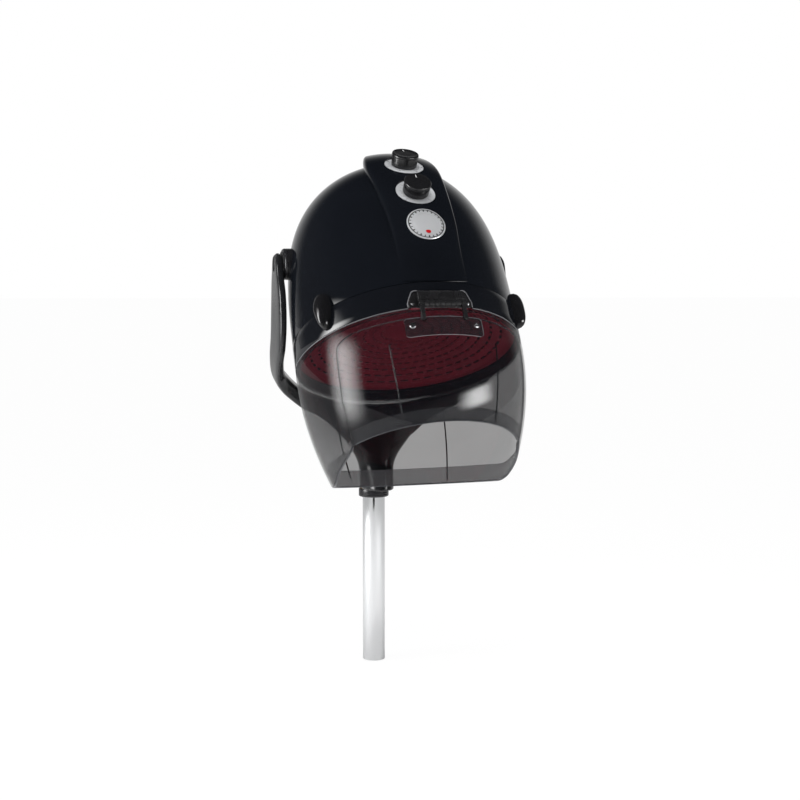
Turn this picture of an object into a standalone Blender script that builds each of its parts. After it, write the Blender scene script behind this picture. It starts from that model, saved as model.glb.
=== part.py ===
"""Hood hair dryer: a tilting dryer hood on a swivelling yoke and a plain mast tube.

World frame in metres: +Z up, the hood faces -Y, the mast axis is the Z axis and
the lower end of the mast tube is at the origin.  Pieces of the hood are worked
out in a hood frame (rim plane at height 0, +height toward the crown, angle 0 at
the brow) and then leaned back by REST_TILT about the left-right axis.
"""
import bmesh
import bpy
import numpy as np
from math import asin, cos, degrees, pi, radians, sin, sqrt
from mathutils import Matrix, Vector

# ---------------------------------------------------------------- sizes (metres)
FIT = 0.0003                  # running or seating gap between two pieces

TUBE_RADIUS = 0.019
TUBE_WALL = 0.0015
TUBE_LENGTH = 0.2995
COLLAR_RADIUS = 0.0258
COLLAR_HEIGHT = 0.0140
WASHER_THICKNESS = 0.0015
SPIGOT_RADIUS = 0.0150
SPIGOT_RISE = 0.048
SPIGOT_DEPTH = 0.080

REST_TILT = radians(27.47)
RIM_FORWARD = 0.2004          # rim centre in front of the mast axis
RIM_HEIGHT = 0.5279           # rim centre above the mast's lower end
HOOD_HALF_WIDTH = 0.1772
HOOD_FRONT = 0.1927
HOOD_BACK = 0.1575
CROWN_HEIGHT = 0.3374
CROWN_LEAN = 0.040            # the sections drift back by this share of height
SIDE_POWER = 3.786
SIDE_ROUND = 2.049
BROW_POWER = 2.096
BROW_ROUND = 2.512
HOOD_WALL = 0.003
BAND_HEIGHT = 0.0405
LEDGE_HEIGHT = 0.0180
LEDGE_WIDTH = 0.0125
LEDGE_THICKNESS = 0.0025

VISOR_DEPTH = 0.200           # depth at which the taper shares below apply
SWELL_SIDE = 0.030
TAPER_SIDE = 0.265
SWELL_FRONT = 0.170
TAPER_FRONT = 0.364
TAPER_BACK = 0.050
VISOR_WALL = 0.0026
VISOR_NECK = 0.012
HEM_HEIGHT = 0.026
HEM_THICKNESS = 0.0050
TIP_DEPTH = 0.202
TIP_ANGLE = 91.0
TIP_ROUNDING = 0.0100         # the skirt's front corners are drawn up by this
TIP_SWEEP = 15.0              # degrees round the hood over which they are
BACK_DEPTH = 0.153
FLAP_BOTTOM = 0.1695
FLAP_TOP = 0.0170
FLAP_TOP_ANGLE = 42.0
FLAP_GAP = 0.0010
TRIM_HEIGHT = 0.0018
TRIM_TOOTH = 0.0007

PIVOT_BACK = 0.0143           # pivot in the hood frame, behind the section centre
PIVOT_RISE = 0.1793
ARM_OUTER = 0.1935
ARM_THICKNESS = 0.0120
YOKE_LEAN = 0.306             # the yoke's sheet leans forward by this share of rise
YOKE_FOOT = 0.3373
PIVOT_BOLT_RADIUS = 0.0060
BOLT_HEAD_RADIUS = 0.0115
BOLT_HEAD_HEIGHT = 0.0030
CAP_THICKNESS = 0.0016
HUB_RADIUS = 0.0250
HUB_INSIDE = 0.008
SHIM_THICKNESS = 0.0012

RIDGE_HALF_WIDTH = 0.0500
RIDGE_RISE = 0.0080
RIDGE_TOP_RISE = 0.0170
RIDGE_WALL = 0.0025
RIDGE_SINK = 0.0020           # the foot starts this far inside the dome and is cut back to it
RIDGE_SPREAD = 0.0085         # extra half width over the crown
RIDGE_SHOULDER = 50.0         # degrees up from the brow where the cover's rounded end begins
RIDGE_TAIL = 82.0             # degrees up from the brow where the cover ends
RIDGE_FOOT = 0.046
HEAT_KNOB_HEIGHT = 0.2100
TIMER_KNOB_HEIGHT = 0.2749
KNOB_RADIUS = 0.0215
KNOB_HEIGHT = 0.0205
WELL_RADIUS = 0.0312
WELL_DEPTH = 0.0050
WELL_FLOOR = 0.0025
DIAL_THICKNESS = 0.0012
SHAFT_RADIUS = 0.0030
SWITCH_RADIUS = 0.0140
SWITCH_HEIGHT = 0.0220
BADGE_HEIGHT = 0.1403
BADGE_RADIUS = 0.0305
BADGE_THICKNESS = 0.0012

EAR_ANGLE = 58.0
EAR_HEIGHT = 0.036
EAR_HALF_LENGTH = 0.031
EAR_HALF_WIDTH = 0.0135
EAR_RISE = 0.0150

PIN_FORWARD = 0.1945
PIN_HEIGHT = 0.0027
PIN_RADIUS = 0.0018
BARREL_RADIUS = 0.0052
NOTCH_HALF_WIDTH = 0.0480
NOTCH_HEIGHT = 0.0265
NOTCH_CLEAR = 0.0008          # other pieces stand this far off the notch's outline
BLOCK_HALF_WIDTH = 0.0350
KNUCKLE_LENGTH = 0.0062
LEAF_HALF_WIDTH = 0.0585
LEAF_DROP = 0.0300
LEAF_THICKNESS = 0.0016
SCREW_RADIUS = 0.0046
SCREW_HEIGHT = 0.0018
SCREW_SPREAD = 0.0475
SHANK_RADIUS = 0.0018
FLAP_SCREW_BORE = SHANK_RADIUS + FIT
WING_SCREW_HEAD = 0.0026
WING_SCREW_SHANK = 0.0012
WING_SCREW_HEIGHT = 0.0016
WING_SCREW_LENGTH = 0.0045
WING_SCREW_REACH = 0.0070     # the bracket's screws stand this far beside the block
WING_SCREW_RISE = 0.0060
FLAP_SCREW_LENGTH = 0.0052

DUCT_INSET = 0.020
DUCT_WALL = 0.002
DECK_HEIGHT = 0.190
DECK_HOLE = 0.062
FAN_CENTRE = 0.006            # fan axis behind the section centre
FAN_RADIUS = 0.056
FAN_HEIGHT = 0.032
BRACKET_RADIUS = 0.080
BRACKET_THICKNESS = 0.002
MOTOR_RADIUS = 0.034
MOTOR_HEIGHT = 0.050
FAN_SHAFT_RADIUS = 0.0030
BLADES = 10
BLADE_WALL = 0.0022
IMPELLER_HUB = 0.014
BLADE_SWEEP = 0.28            # radians from a blade's root to its tip
CUTOUT_RADIUS = 0.0065
CUTOUT_HEIGHT = 0.0060
CUTOUT_REACH = 0.058
HEATER_PLATE = 0.0020
HEATER_LOW = 0.085
HEATER_MID = 0.105
HEATER_HIGH = 0.125
HEATER_RING_RADII = (0.060, 0.095)
HEATER_ROD_RADIUS = 0.0033
DIFFUSER_SAG = 0.036
DIFFUSER_WALL = 0.0020
GLAND_RADIUS = 0.0085
GLAND_HEIGHT = 0.075

HOOD_STEPS = 36               # facets around the hood's section
DIFFUSER_STEPS = 32
TRIM_STEPS = 64


# ---------------------------------------------------------------- scene and materials
for old in list(bpy.data.objects):
    bpy.data.objects.remove(old)


def material(name, colour, metallic=0.0, roughness=0.4, alpha=1.0):
    made = bpy.data.materials.new(name)
    made.use_nodes = True
    shader = made.node_tree.nodes["Principled BSDF"]
    shader.inputs["Base Color"].default_value = (*colour, 1.0)
    shader.inputs["Metallic"].default_value = metallic
    shader.inputs["Roughness"].default_value = roughness
    shader.inputs["Alpha"].default_value = alpha
    return made


BLACK = (0.012, 0.012, 0.014)
STEEL = (0.60, 0.60, 0.61)


# ---------------------------------------------------------------- hood section
def side_share(height):
    return max(1e-4, 1.0 - (height / CROWN_HEIGHT) ** SIDE_POWER) ** (1.0 / SIDE_ROUND)


def brow_share(height):
    return max(1e-4, 1.0 - (height / CROWN_HEIGHT) ** BROW_POWER) ** (1.0 / BROW_ROUND)


def half_sizes(height):
    """Half width, front reach, back reach and centre shift of the hood at a height."""
    if height >= 0.0:
        side = side_share(min(height, CROWN_HEIGHT))
        brow = brow_share(min(height, CROWN_HEIGHT))
        shift = CROWN_LEAN * height
        return HOOD_HALF_WIDTH * side, HOOD_FRONT * brow, HOOD_BACK * side, shift
    down = -height / VISOR_DEPTH
    width = HOOD_HALF_WIDTH * (1.0 + SWELL_SIDE * down - TAPER_SIDE * down * down)
    front = HOOD_FRONT * (1.0 + SWELL_FRONT * down - TAPER_FRONT * down * down)
    back = HOOD_BACK * (1.0 - TAPER_BACK * down)
    return width, front, back, 0.0


def plan_point(angle, height, inset=0.0):
    """Point of the hood section at an angle from the brow, moved in along its plan normal."""
    width, front, back, shift = half_sizes(height)
    reach = front if cos(angle) > 0.0 else back
    x = width * sin(angle)
    y = -reach * cos(angle)
    normal = Vector((sin(angle) / width, -cos(angle) / reach, 0.0)).normalized()
    return Vector((x, y + shift, height)) - normal * inset


def plan_loop(inset, height, angles):
    return [plan_point(angle, height, inset) for angle in angles]


def circle_loop(radius, height, angles, centre_y=FAN_CENTRE):
    return [Vector((radius * sin(a), centre_y - radius * cos(a), height)) for a in angles]


def surface_normal(angle, height):
    step = 0.0015
    low = max(0.0, height - step) if height >= 0.0 else height - step
    high = min(CROWN_HEIGHT * 0.9995, height + step) if height >= 0.0 else height + step
    along = plan_point(angle, high) - plan_point(angle, low)
    around = plan_point(angle + 0.01, height) - plan_point(angle - 0.01, height)
    normal = around.cross(along)
    if normal.length < 1e-12:
        return Vector((0.0, 0.0, 1.0))
    return normal.normalized()


def full_turn(steps):
    return [2.0 * pi * k / steps for k in range(steps)]


LEAN = Matrix.Rotation(-REST_TILT, 4, "X")
HOOD_FRAME = Matrix.Translation((0.0, -RIM_FORWARD, RIM_HEIGHT)) @ LEAN
PIVOT = HOOD_FRAME @ Vector((0.0, PIVOT_BACK, PIVOT_RISE))
SWIVEL = Vector((0.0, 0.0, TUBE_LENGTH))


# ---------------------------------------------------------------- mesh helpers
def mesh_from(name, verts, faces):
    mesh = bpy.data.meshes.new(name)
    mesh.from_pydata([tuple(v) for v in verts], [], faces)
    work = bmesh.new()
    work.from_mesh(mesh)
    bmesh.ops.remove_doubles(work, verts=work.verts, dist=0.00002)
    bmesh.ops.recalc_face_normals(work, faces=work.faces)
    work.to_mesh(mesh)
    work.free()
    return mesh


def loft(loops, ring=True):
    """Skin a row of equal loops; ring joins the last loop to the first, else both ends are capped."""
    count = len(loops[0])
    verts = [point for loop in loops for point in loop]
    faces = []
    pairs = len(loops) if ring else len(loops) - 1
    for i in range(pairs):
        for j in range(count):
            a = i * count + j
            b = i * count + (j + 1) % count
            c = ((i + 1) % len(loops)) * count
            faces.append((a, b, c + (j + 1) % count, c + j))
    if not ring:
        faces.append(tuple(range(count)))
        faces.append(tuple((len(loops) - 1) * count + j for j in range(count)))
    return verts, faces


def turned(profile, steps=32, ring=False):
    """Body of revolution about Z from (radius, height) pairs."""
    loops = []
    for radius, height in profile:
        shown = max(radius, 1e-5)
        loops.append([Vector((shown * cos(a), shown * sin(a), height)) for a in full_turn(steps)])
    return loft(loops, ring)


def shell(outer, inner, solid, wrap, pole=False):
    """Closed sheet from two point grids; solid(i, j) says which cells are material."""
    rows = len(outer)
    cols = len(outer[0])
    verts = []
    numbers = {}
    faces = []

    def number(side, i, j):
        j = j % cols
        if pole and i == rows - 1:
            j = 0
        key = (side, i, j)
        if key not in numbers:
            numbers[key] = len(verts)
            verts.append((outer if side == 0 else inner)[i][j])
        return numbers[key]

    def filled(i, j):
        if i < 0 or i >= rows - 1:
            return pole and i == rows - 1
        if wrap:
            return solid(i, j % cols)
        return 0 <= j < cols - 1 and solid(i, j)

    def add(corners):
        kept = []
        for corner in corners:
            if corner not in kept:
                kept.append(corner)
        if len(kept) > 2:
            faces.append(tuple(kept))

    for i in range(rows - 1):
        for j in range(cols if wrap else cols - 1):
            if not filled(i, j):
                continue
            square = [(i, j), (i, j + 1), (i + 1, j + 1), (i + 1, j)]
            add([number(0, *p) for p in square])
            add([number(1, *p) for p in reversed(square)])
            sides = (((i, j), (i, j + 1), (i - 1, j)), ((i + 1, j + 1), (i + 1, j), (i + 1, j)),
                     ((i + 1, j), (i, j), (i, j - 1)), ((i, j + 1), (i + 1, j + 1), (i, j + 1)))
            for start, end, neighbour in sides:
                if not filled(*neighbour):
                    add([number(0, *end), number(0, *start), number(1, *start), number(1, *end)])
    return verts, faces


def box(low, high):
    xs, ys, zs = zip(low, high)
    verts = [Vector((x, y, z)) for x in xs for y in ys for z in zs]
    faces = [(0, 1, 3, 2), (4, 6, 7, 5), (0, 4, 5, 1), (2, 3, 7, 6), (0, 2, 6, 4), (1, 5, 7, 3)]
    return verts, faces


def placed(shape, frame):
    verts, faces = shape
    return [frame @ v for v in verts], faces


def node(name, shape, look, origin, smooth=35.0):
    """One named piece; its object origin lies on the axis its body moves about."""
    mesh = shape if isinstance(shape, bpy.types.Mesh) else mesh_from(name, *shape)
    mesh.name = name
    mesh.transform(Matrix.Translation(-origin))
    mesh.materials.clear()
    mesh.materials.append(look)
    mesh.shade_smooth()
    mesh.set_sharp_from_angle(angle=radians(smooth))
    made = bpy.data.objects.new(name, mesh)
    made.location = origin
    bpy.context.scene.collection.objects.link(made)
    return made


def combine(shape, *steps):
    """Exact booleans on world shapes: each step is (operation, shape)."""
    base_mesh = shape if isinstance(shape, bpy.types.Mesh) else mesh_from("work", *shape)
    for operation, other in steps:
        base = bpy.data.objects.new("work_base", base_mesh)
        tool_mesh = other if isinstance(other, bpy.types.Mesh) else mesh_from("work_tool", *other)
        tool = bpy.data.objects.new("work_tool", tool_mesh)
        tool.hide_render = True
        tool.display_type = "WIRE"
        bpy.context.scene.collection.objects.link(base)
        bpy.context.scene.collection.objects.link(tool)
        cutter = base.modifiers.new("cut", "BOOLEAN")
        cutter.operation = operation
        cutter.solver = "EXACT"
        cutter.object = tool
        seen = base.evaluated_get(bpy.context.evaluated_depsgraph_get())
        result = bpy.data.meshes.new_from_object(seen)
        bpy.data.objects.remove(base)
        bpy.data.objects.remove(tool)
        base_mesh = result
    work = bmesh.new()
    work.from_mesh(base_mesh)
    bmesh.ops.remove_doubles(work, verts=work.verts, dist=0.00002)
    bmesh.ops.dissolve_degenerate(work, edges=work.edges, dist=0.00001)
    bmesh.ops.recalc_face_normals(work, faces=work.faces)
    work.to_mesh(base_mesh)
    work.free()
    return base_mesh


def disc(radius, low, high, steps=24):
    return turned([(0.0, low), (radius, low), (radius, high), (0.0, high)], steps)


def axis_frame(origin, direction):
    """Frame whose Z runs along direction and whose X stays level."""
    z = direction.normalized()
    x = Vector((1.0, 0.0, 0.0))
    x = (x - z * x.dot(z)).normalized()
    y = z.cross(x)
    frame = Matrix((x, y, z)).transposed().to_4x4()
    return Matrix.Translation(origin) @ frame


def bore_hole(frame, radius, length):
    return placed(disc(radius, -length, length, 14), frame)


# ---------------------------------------------------------------- mast
chrome = material("mast_chrome", (0.78, 0.78, 0.80), 1.0, 0.08)
tube_bore = TUBE_RADIUS - TUBE_WALL
node("mast_tube", turned([(TUBE_RADIUS, 0.0), (TUBE_RADIUS, TUBE_LENGTH), (tube_bore, TUBE_LENGTH),
                          (tube_bore, 0.0)], 32, ring=True), chrome, Vector((0, 0, 0)))

# Black sleeve round the tube's upper end, level with the tube's end face.
collar_look = material("collar_plastic", BLACK, 0.0, 0.25)
collar_low = TUBE_LENGTH - COLLAR_HEIGHT
collar_bore = TUBE_RADIUS + FIT
chamfer = 0.0015
node("mast_collar", turned([(collar_bore, collar_low), (COLLAR_RADIUS - chamfer, collar_low),
                            (COLLAR_RADIUS, collar_low + chamfer),
                            (COLLAR_RADIUS, TUBE_LENGTH - chamfer),
                            (COLLAR_RADIUS - chamfer, TUBE_LENGTH), (collar_bore, TUBE_LENGTH)],
                           32, ring=True), collar_look, Vector((0, 0, 0)))

# Steel spigot: a plug in the tube, and the pin the yoke turns on.
spigot_look = material("spigot_steel", STEEL, 1.0, 0.3)
plug_radius = tube_bore - FIT
node("swivel_spigot", turned([(0.0, TUBE_LENGTH - SPIGOT_DEPTH),
                              (plug_radius, TUBE_LENGTH - SPIGOT_DEPTH),
                              (plug_radius, TUBE_LENGTH), (SPIGOT_RADIUS, TUBE_LENGTH),
                              (SPIGOT_RADIUS, TUBE_LENGTH + SPIGOT_RISE),
                              (0.0, TUBE_LENGTH + SPIGOT_RISE)], 32), spigot_look, Vector((0, 0, 0)))

washer_look = material("thrust_bronze", (0.55, 0.38, 0.18), 1.0, 0.35)
washer_low = TUBE_LENGTH + FIT
washer_high = washer_low + WASHER_THICKNESS
node("thrust_washer", turned([(SPIGOT_RADIUS + FIT, washer_low), (COLLAR_RADIUS - chamfer, washer_low),
                              (COLLAR_RADIUS - chamfer, washer_high),
                              (SPIGOT_RADIUS + FIT, washer_high)], 32, ring=True), washer_look, SWIVEL)


# ---------------------------------------------------------------- yoke
def sheet_y(height):
    return -YOKE_LEAN * (height - YOKE_FOOT)


SHEET_NORMAL = Vector((0.0, 1.0, YOKE_LEAN)).normalized()
arm_inner = ARM_OUTER - ARM_THICKNESS
arm_top = PIVOT.z + 0.0165

# Stations of the U: outer point, inner point (reach, height), half depth of the section and
# how far the section stands forward of the sheet.
U_STATIONS = [
    ((0.000, 0.374), (0.000, 0.446), 0.0080, 0.0),
    ((0.032, 0.376), (0.030, 0.447), 0.0085, 0.0),
    ((0.060, 0.392), (0.056, 0.450), 0.0090, 0.0),
    ((0.084, 0.415), (0.080, 0.455), 0.0100, 0.0),
    ((0.108, 0.4325), (0.103, 0.462), 0.0120, 0.0),
    ((0.132, 0.4445), (0.126, 0.471), 0.0155, 0.0),
    ((0.154, 0.461), (0.1445, 0.484), 0.0200, 0.0),
    ((0.172, 0.4775), (0.159, 0.498), 0.0250, 0.0),
    ((0.1845, 0.496), (0.171, 0.512), 0.0290, 0.0040),
    ((0.1905, 0.523), (0.178, 0.533), 0.0330, 0.0160),
    ((ARM_OUTER - 0.0005, 0.554), (arm_inner - 0.0005, 0.559), 0.0365, 0.0300),
    ((ARM_OUTER, 0.595), (arm_inner, 0.597), 0.0380, 0.0260),
    ((ARM_OUTER, 0.640), (arm_inner, 0.640), 0.0340, 0.0140),
    ((ARM_OUTER, PIVOT.z - 0.010), (arm_inner, PIVOT.z - 0.010), 0.0240, 0.0040),
    ((ARM_OUTER, PIVOT.z + 0.006), (arm_inner, PIVOT.z + 0.006), 0.0185, 0.0),
    ((ARM_OUTER - 0.0020, arm_top - 0.004), (arm_inner + 0.0010, arm_top - 0.004), 0.0120, 0.0),
    ((ARM_OUTER - 0.0045, arm_top), (arm_inner + 0.0035, arm_top), 0.0060, 0.0),
]


def yoke_section(outer, inner, half_depth, forward, side):
    """Rounded section between two points, half_depth each way from its middle."""
    loop = []
    for k in range(12):
        turn = 2.0 * pi * (k + 0.5) / 12
        across = abs(cos(turn)) ** 0.62 * (1 if cos(turn) > 0 else -1)
        deep = abs(sin(turn)) ** 0.62 * (1 if sin(turn) > 0 else -1)
        share = 0.5 + 0.5 * across
        reach = outer[0] * share + inner[0] * (1.0 - share)
        height = outer[1] * share + inner[1] * (1.0 - share)
        point = Vector((side * reach, sheet_y(height) - forward, height))
        loop.append(point + SHEET_NORMAL * (half_depth * deep))
    return loop


loops = [yoke_section(*station, -1) for station in reversed(U_STATIONS[1:])]
loops.append(yoke_section(*U_STATIONS[0], -1))
loops += [yoke_section(*station, 1) for station in U_STATIONS[1:]]
u_shape = loft(loops, ring=False)

# Column sections: height, half width, half depth, centre in y.
column_foot = washer_high + FIT
COLUMN_SECTIONS = [
    (column_foot, 0.0270, 0.0430, -0.0210),
    (0.325, 0.0275, 0.0400, -0.0180),
    (0.343, 0.0300, 0.0360, -0.0145),
    (0.358, 0.0365, 0.0320, -0.0145),
    (0.371, 0.0450, 0.0280, -0.0165),
    (0.386, 0.0560, 0.0220, -0.0195),
    (0.402, 0.0660, 0.0160, -0.0250),
    (0.418, 0.0740, 0.0110, -0.0310),
]
column = []
for height, half_width, half_depth, centre in COLUMN_SECTIONS:
    column.append([Vector((half_width * cos(a), centre + half_depth * sin(a), height))
                   for a in full_turn(24)])
bore_radius = SPIGOT_RADIUS + FIT
bore = placed(turned([(0.0, -0.02), (bore_radius, -0.02), (bore_radius, SPIGOT_RISE + FIT),
                      (0.0, SPIGOT_RISE + FIT)], 32), Matrix.Translation(SWIVEL))
head_bore = BOLT_HEAD_RADIUS + FIT
pin_bore = PIVOT_BOLT_RADIUS + FIT
head_low = ARM_OUTER - 0.0015 - CAP_THICKNESS - BOLT_HEAD_HEIGHT - FIT
far = ARM_OUTER + 0.01
pin_hole = turned([(0.0, -far), (head_bore, -far), (head_bore, -head_low), (pin_bore, -head_low),
                   (pin_bore, head_low), (head_bore, head_low), (head_bore, far), (0.0, far)], 20)
side_frame = Matrix.Translation(PIVOT) @ Matrix.Rotation(pi / 2, 4, "Y")
yoke_look = material("yoke_plastic", BLACK, 0.0, 0.12)
yoke = combine(u_shape, ("UNION", loft(column, ring=False)), ("DIFFERENCE", bore),
               ("DIFFERENCE", placed(pin_hole, side_frame)))
node("yoke_frame", yoke, yoke_look, SWIVEL)


# ---------------------------------------------------------------- tilt pivots
bolt_look = material("pivot_steel", STEEL, 1.0, 0.28)
cap_look = material("pivot_cap_plastic", BLACK, 0.0, 0.2)
hub_look = material("hub_plastic", (0.02, 0.02, 0.022), 0.0, 0.35)
shim_look = material("friction_nylon", (0.75, 0.74, 0.70), 0.0, 0.6)
hub_face = arm_inner - SHIM_THICKNESS - 2 * FIT
pivot_side = half_sizes(PIVOT_RISE)
pivot_reach = pivot_side[0] * sqrt(1.0 - ((PIVOT_BACK - pivot_side[3]) / pivot_side[1]) ** 2)
hub_back = pivot_reach - HOOD_WALL - HUB_INSIDE
for side, word in ((-1, "left"), (1, "right")):
    out = Matrix.Translation(PIVOT) @ Matrix.Rotation(side * pi / 2, 4, "Y")
    bolt_bore = PIVOT_BOLT_RADIUS + FIT
    node("hub_boss_" + word, placed(turned([
        (bolt_bore, hub_back), (HUB_RADIUS - 0.004, hub_back), (HUB_RADIUS, hub_back + 0.004),
        (HUB_RADIUS, hub_face - 0.004), (HUB_RADIUS - 0.003, hub_face), (bolt_bore, hub_face)],
        24, ring=True), out), hub_look, PIVOT)
    shim_low = hub_face + FIT
    node("friction_shim_" + word, placed(turned([
        (bolt_bore, shim_low), (HUB_RADIUS - 0.005, shim_low),
        (HUB_RADIUS - 0.005, shim_low + SHIM_THICKNESS), (bolt_bore, shim_low + SHIM_THICKNESS)],
        20, ring=True), out), shim_look, PIVOT)
    head_under = head_low + FIT
    head_high = head_under + BOLT_HEAD_HEIGHT
    node("pivot_bolt_" + word, placed(turned([
        (0.0, hub_back + 0.001), (PIVOT_BOLT_RADIUS, hub_back + 0.001),
        (PIVOT_BOLT_RADIUS, head_under), (BOLT_HEAD_RADIUS, head_under),
        (BOLT_HEAD_RADIUS, head_high), (0.0, head_high)], 20), out), bolt_look, PIVOT)
    cap_low = head_high + FIT
    node("pivot_cap_" + word, placed(turned([
        (0.0, cap_low), (BOLT_HEAD_RADIUS, cap_low), (BOLT_HEAD_RADIUS, cap_low + CAP_THICKNESS - 0.0005),
        (BOLT_HEAD_RADIUS - 0.003, cap_low + CAP_THICKNESS), (0.0, cap_low + CAP_THICKNESS)], 20), out),
        cap_look, PIVOT)

# ---------------------------------------------------------------- dome shell
gloss = material("hood_gloss_black", BLACK, 0.0, 0.07)
dome_rows = [BAND_HEIGHT + FIT, 0.075, 0.110, 0.145, 0.178, 0.205, 0.228, 0.250, 0.272, 0.293,
             0.310, 0.323, 0.3325, CROWN_HEIGHT]
steps_angle = 2.0 * pi / HOOD_STEPS
dome_angles = full_turn(HOOD_STEPS)
fine = [pi + steps_angle * (k + 0.5) for k in range(-3, 3)]
dome_angles = sorted(dome_angles + fine)


def skin_rows(rows, angles, inset):
    grid = []
    for height in rows:
        grid.append([plan_point(a, height) - surface_normal(a, height) * inset for a in angles])
    return grid


outer_rows = skin_rows(dome_rows[:-1], dome_angles, 0.0)
outer_rows.append([plan_point(0.0, CROWN_HEIGHT)] * len(dome_angles))
inner_rows = skin_rows(dome_rows[:-1], dome_angles, HOOD_WALL)
inner_rows[0] = [plan_point(a, dome_rows[0], HOOD_WALL) for a in dome_angles]
inner_rows.append([plan_point(0.0, CROWN_HEIGHT) - Vector((0, 0, HOOD_WALL))] * len(dome_angles))
VENT_ROWS = (5, 7)
WINDOW_ROWS = range(4, 9)
half_step = steps_angle / 2.0


def dome_solid(i, j):
    """Material everywhere but the control window at the brow and the air slots at the back."""
    middle = dome_angles[j] + (dome_angles[(j + 1) % len(dome_angles)] - dome_angles[j]) % (2 * pi) / 2
    middle = middle % (2 * pi)
    if i in WINDOW_ROWS and (middle < steps_angle or middle > 2 * pi - steps_angle):
        return False
    if i in VENT_ROWS and abs(middle - pi) < 3 * steps_angle:
        return int(round((middle - pi) / half_step - 0.5)) % 2 != 0
    return True


hub_hole = turned([(0.0, -0.3), (HUB_RADIUS + FIT, -0.3), (HUB_RADIUS + FIT, 0.3), (0.0, 0.3)], 24)
gland_spot = plan_point(pi, GLAND_HEIGHT)
gland_axis = axis_frame(HOOD_FRAME @ gland_spot, LEAN @ Vector((0.0, 1.0, 0.0)))
gland_hole = turned([(0.0, -0.03), (GLAND_RADIUS + FIT, -0.03), (GLAND_RADIUS + FIT, 0.03),
                     (0.0, 0.03)], 20)
dome = combine(placed(shell(outer_rows, inner_rows, dome_solid, True, pole=True), HOOD_FRAME),
               ("DIFFERENCE", placed(hub_hole, side_frame)),
               ("DIFFERENCE", placed(gland_hole, gland_axis)))
node("dome_shell", dome, gloss, PIVOT)

# Cable inlet at the back of the dome, a flanged bush.
gland_look = material("gland_rubber", (0.02, 0.02, 0.02), 0.0, 0.6)
node("cable_inlet", placed(turned([
    (0.0035, -0.008), (GLAND_RADIUS, -0.008), (GLAND_RADIUS, 0.0010), (GLAND_RADIUS + 0.003, 0.0010),
    (GLAND_RADIUS + 0.002, 0.0035), (0.0065, 0.0100), (0.0035, 0.0100)], 20, ring=True), gland_axis),
    gland_look, PIVOT)

# ---------------------------------------------------------------- brow band
turn_angles = full_turn(HOOD_STEPS)
ledge_low = LEDGE_HEIGHT
ledge_high = LEDGE_HEIGHT + LEDGE_THICKNESS
band_profile = [(0.0, 0.0), (0.0, 0.0200), (0.0, BAND_HEIGHT), (HOOD_WALL, BAND_HEIGHT),
                (HOOD_WALL, ledge_high), (LEDGE_WIDTH, ledge_high), (LEDGE_WIDTH, ledge_low),
                (HOOD_WALL, ledge_low), (HOOD_WALL, 0.0)]
band = placed(loft([plan_loop(inset, height, turn_angles) for inset, height in band_profile]),
              HOOD_FRAME)
notch = [Vector((NOTCH_HALF_WIDTH, 0, -0.01)), Vector((NOTCH_HALF_WIDTH, 0, 0.008)),
         Vector((NOTCH_HALF_WIDTH - 0.007, 0, NOTCH_HEIGHT)),
         Vector((-NOTCH_HALF_WIDTH + 0.007, 0, NOTCH_HEIGHT)),
         Vector((-NOTCH_HALF_WIDTH, 0, 0.008)), Vector((-NOTCH_HALF_WIDTH, 0, -0.01))]


def notch_body(clearance, front, back, low):
    """The notch outline, shrunk by a clearance, as a block between two depths."""
    sides = []
    for y in (front, back):
        loop = []
        for corner in notch:
            x = corner.x - clearance * (1 if corner.x > 0 else -1)
            z = low if corner.z < 0 else min(corner.z, NOTCH_HEIGHT - clearance)
            loop.append(Vector((x, y, z)))
        sides.append(loop)
    return loft(sides, ring=False)


notch_back = -HOOD_FRONT + 0.0118
band = combine(band, ("DIFFERENCE", placed(notch_body(0.0, -HOOD_FRONT - 0.03, notch_back, -0.01),
                                           HOOD_FRAME)))
node("brow_band", band, material("band_gloss_black", BLACK, 0.0, 0.1), PIVOT)


# ---------------------------------------------------------------- ear covers
def surface_bump(angle, height, half_width, half_length, lift, rings=4, steps=16):
    """Teardrop cover lying on the hood surface: flat underside, domed top."""
    per_angle = (plan_point(angle + 0.01, height) - plan_point(angle - 0.01, height)).length / 0.02
    tops = []
    bottoms = []
    for k in range(rings, 0, -1):
        share = k / rings
        top = []
        bottom = []
        for a in full_turn(steps):
            taper = 1.0 + 0.28 * cos(a)
            u = half_width * share * sin(a) * taper
            v = half_length * share * cos(a)
            h = height + v
            base = plan_point(angle + u / per_angle, h)
            up = surface_normal(angle + u / per_angle, h)
            top.append(base + up * (FIT + 0.0015 + lift * sqrt(max(0.0, 1.0 - share ** 2.6))))
            bottom.append(base + up * FIT)
        tops.append(top)
        bottoms.append(bottom)
    crown = plan_point(angle, height) + surface_normal(angle, height) * (FIT + 0.0015 + lift)
    foot = plan_point(angle, height) + surface_normal(angle, height) * FIT
    verts = [p for loop in tops + bottoms for p in loop] + [crown, foot]
    faces = []
    for group in (0, rings):
        for i in range(rings - 1):
            for j in range(steps):
                a = (group + i) * steps + j
                b = (group + i) * steps + (j + 1) % steps
                faces.append((a, b, b + steps, a + steps))
        centre = len(verts) - (2 if group == 0 else 1)
        last = (group + rings - 1) * steps
        for j in range(steps):
            faces.append((last + j, last + (j + 1) % steps, centre))
    for j in range(steps):
        faces.append((j, (j + 1) % steps, rings * steps + (j + 1) % steps, rings * steps + j))
    return verts, faces


ear_look = material("ear_gloss_black", BLACK, 0.0, 0.08)
for side, word in ((-1, "left"), (1, "right")):
    node("ear_cover_" + word, placed(surface_bump(side * radians(EAR_ANGLE), EAR_HEIGHT,
                                                  EAR_HALF_WIDTH, EAR_HALF_LENGTH, EAR_RISE),
                                     HOOD_FRAME), ear_look, PIVOT)

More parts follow.
